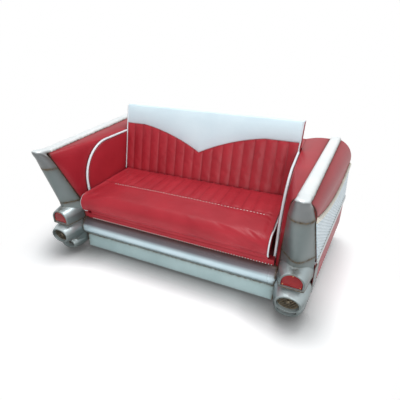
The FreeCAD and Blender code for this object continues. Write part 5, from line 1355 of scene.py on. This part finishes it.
rim_depth = hood_front - lens_front
pocket_places = ((rim_depth - 0.01, -0.004), (rim_depth + 0.004, -lens_play), (lens_thick, -lens_play))
lens_edge = [(0.0024 * (1 - math.cos(turn)), 0.004 * (1 - math.sin(turn)))
             for turn in np.radians((0, 30, 60, 90))]
lens_places = ((-0.002, 0.03), (-0.0015, 0.015), *lens_edge, (lens_thick - 0.0005, 0))
screw_profile = ((0.0006, -0.0032), (0.0022, -0.0026), (0.0026, -0.001), (0.0026, 0.002))
screw_spots = ((lamp_x - 0.043, 0.2685), (lamp_x + 0.043, 0.2685), (lamp_x, 0.331))
for side, hand in hands:
    hood = ringed("hood_form", [hood_rings()], side)
    collar = ringed("collar_form", [collar_rings()], side)
    mouth = ringed("lens_pocket", [lens_rings(*pocket_places)], side)
    above = brick("seam_cut", (cut_front, cut_rear), (lower_seam - hairline, cut_high), side)
    behind = brick("mount_cut", (mount_plane, cut_rear), (0, cut_high), side)
    below = brick("foot_cut", (cut_front, cut_rear), (0.1, lamp_low), side)
    housing = grown_together(hand + "_lamp_hood", [hood, collar], hood_voxel, [mouth, above, behind, below])
    # The hood stores brown wash at its seam and painted shade in its valley and at its foot.
    noted(housing.data, lamp_wash_and_shade(*spots_of(housing.data, side)))
    fitted(housing, silver_paint, "silver_paint", "sofa", hand + "_lamp_housing")
    lens_piece = ringed(hand + "_tail_lens", [lens_rings(*lens_places)], side)
    fitted(lens_piece, red_lens, "red_lens", "sofa", hand + "_lamp_lens")
    for number, (screw_x, screw_z) in enumerate(screw_spots, 1):
        rings = [oval(lens_front + depth, screw_x, screw_z, radius, radius, 12)
                 for radius, depth in screw_profile]
        screw = ringed(f"{hand}_lens_screw_{number}", [np.stack(rings)], side)
        fitted(screw, brass, "steel_trim", "sofa")

# Bumper ends: two flattened barrels in one silver casting, a large oval port above a small scoop.
# A dark bronze grille sits inside the upper port; both throats are darkened with painted shade.

port_z, port_half, port_tall, port_rim, port_nose, port_deep = 0.175, 0.056, 0.043, 0.009, -0.4845, 0.055
scoop_z, scoop_half, scoop_tall, scoop_rim, scoop_nose, scoop_deep = 0.08, 0.05, 0.028, 0.012, -0.4335, 0.05
pod_inset, pod_foot, pod_voxel, root_step = 0.086, 0.024, 0.0032, 0.006
port_flare, port_taper, scoop_flare, scoop_taper = 0.004, 0.003, 0.005, 0.004
pod_outer = side_x(mount_plane, sill_top) + sill_flare
pod_inner = lamp_x - pod_inset
pod_middle, pod_half = (pod_outer + pod_inner) / 2, (pod_outer - pod_inner) / 2
scoop_root, waist_front_half, waist_height = pod_half - root_step, 0.05, 0.12
port_root_tall, scoop_root_tall = lamp_low - hairline - port_z, scoop_z - pod_foot


def pod_way(y, nose):
    """How far along a barrel a depth lies, from 0 at the mount plate to 1 at its nose."""
    return max((y - mount_plane) / (nose - mount_plane), 0)


def barrel_rings(nose, z, half, tall, root_half, root_tall):
    """One barrel from its root to its nose."""
    rings = []
    for y in np.linspace(mount_plane + cut_spare, nose, 32):
        way = pod_way(y, nose)
        rings.append(oval(y, between(pod_middle, lamp_x, way), z, between(root_half, half, way ** 3),
                          between(root_tall, tall, way ** 3)))
    return np.stack(rings)


def core_rings():
    """The waist that joins the two barrels at their root: an oval with its middle drawn out."""
    rings = []
    rise = np.sin(np.linspace(0, 2 * np.pi, 64, endpoint=False))
    for y in np.linspace(mount_plane + cut_spare, scoop_nose + scoop_deep / 2, 24):
        way = pod_way(y, scoop_nose)
        half = between(scoop_root, waist_front_half, way ** 2)
        ring = oval(y, between(pod_middle, lamp_x, way), 0, half, 0)
        top_tall = between(port_root_tall, port_tall + port_rim, way ** 3)
        foot_tall = between(scoop_root_tall, scoop_tall + scoop_rim, way ** 3)
        ring[:, 2] = np.where(rise >= -1e-9, port_z + top_tall * rise, scoop_z + foot_tall * rise)
        rings.append(ring)
    return np.stack(rings)


def throat_rings(nose, z, half, tall, deep, mouth, taper):
    """The hollow of a barrel: wider at its mouth, a little narrower at its end."""
    return np.stack([oval(nose - 0.01, lamp_x, z, half + mouth, tall + mouth),
                     oval(nose + 0.004, lamp_x, z, half, tall),
                     oval(nose + deep, lamp_x, z, half - taper, tall - taper)])


def pod_shade_and_wash(x, y, z):
    """Painted shade between the barrels and inside the two throats, brown wash at the root, brown wash with
    a painted shadow line under the lamp, and a darkening towards the foot.
    """
    in_port = np.hypot((x - lamp_x) / port_half, (z - port_z) / port_tall) < 1.01
    in_scoop = np.hypot((x - lamp_x) / scoop_half, (z - scoop_z) / scoop_tall) < 1.01
    throat = (in_port & (y > port_nose + 0.004)) | (in_scoop & (y > scoop_nose + 0.004))
    waist = 0.6 * dipped(z - waist_height, 0.007) * ramp(-0.385 - y, 0.03)
    foot = 0.4 * falloff(z - 0.04, 0.02)
    return np.maximum.reduce([throat * 1.0, waist, seam_darkened(mount_plane - y), foot, 0.8 * seam_darkened(0.249 - z)])


dark_grille = plain_finish("dark_grille", (150, 5), (0.35, (0.03, 0.025, 0.018)), (0.72, (0.2, 0.16, 0.1)),
                           (0.35, 0.6), 0.6, (0.001, 0.5))
grille_y, grille_bar, bar_count = -0.4645, 0.005, 7
grille_half, grille_tall = port_half - hairline, port_tall - hairline
bar_y = grille_y + 0.003
boss_profile = ((0.0058, 0.003), (0.005, 0.007), (0.003, 0.0108), (0.0, 0.013), (-0.006, 0.013))


def grille_solids():
    """An oval hoop, level rounded bars across it and a domed boss."""
    hoop = oval(bar_y, lamp_x, port_z, grille_half - grille_bar / 2, grille_tall - grille_bar / 2, 63)
    paths = [np.concatenate([hoop, hoop[:1]])]
    for number in range(1, bar_count + 1):
        z = -grille_tall + number * 2 * grille_tall / (bar_count + 1)
        reach = grille_half * math.sqrt(1 - (z / grille_tall) ** 2) - 0.001
        left, right = (lamp_x - reach, bar_y, port_z + z), (lamp_x + reach, bar_y, port_z + z)
        paths.append(np.linspace(left, right, 24))
    boss = np.stack([oval(grille_y - lift, lamp_x, port_z, radius, radius, 28)
                     for lift, radius in boss_profile])
    return [tube_rings(path, grille_bar / 2, (0, -1, 0), 10) for path in paths] + [boss]


port_barrel = barrel_rings(port_nose, port_z, port_half + port_rim, port_tall + port_rim,
                           pod_half, port_root_tall)
scoop_barrel = barrel_rings(scoop_nose, scoop_z, scoop_half + scoop_rim, scoop_tall + scoop_rim,
                            scoop_root, scoop_root_tall)
port_throat = throat_rings(port_nose, port_z, port_half, port_tall, port_deep, port_flare, port_taper)
scoop_throat = throat_rings(scoop_nose, scoop_z, scoop_half, scoop_tall, scoop_deep,
                            scoop_flare, scoop_taper)
for side, hand in hands:
    solids = [ringed("barrel_form", [rings], side) for rings in (port_barrel, scoop_barrel, core_rings())]
    cuts = [ringed("throat_cut", [rings], side) for rings in (port_throat, scoop_throat)]
    cuts.append(brick("mount_cut", (mount_plane, cut_rear), (0, cut_high), side))
    pod = grown_together(hand + "_bumper_pod", solids, pod_voxel, cuts)
    # The pod stores painted shade in its throats and waist, and brown wash with a painted shadow line at its
    # root and under the lamp.
    noted(pod.data, pod_shade_and_wash(*spots_of(pod.data, side)))
    fitted(pod, silver_paint, "silver_paint", "sofa", hand + "_bumper_end")
    grille = ringed(hand + "_port_bars", grille_solids(), side, 50)
    fitted(grille, dark_grille, "dark_grille", "sofa", hand + "_port_grille")
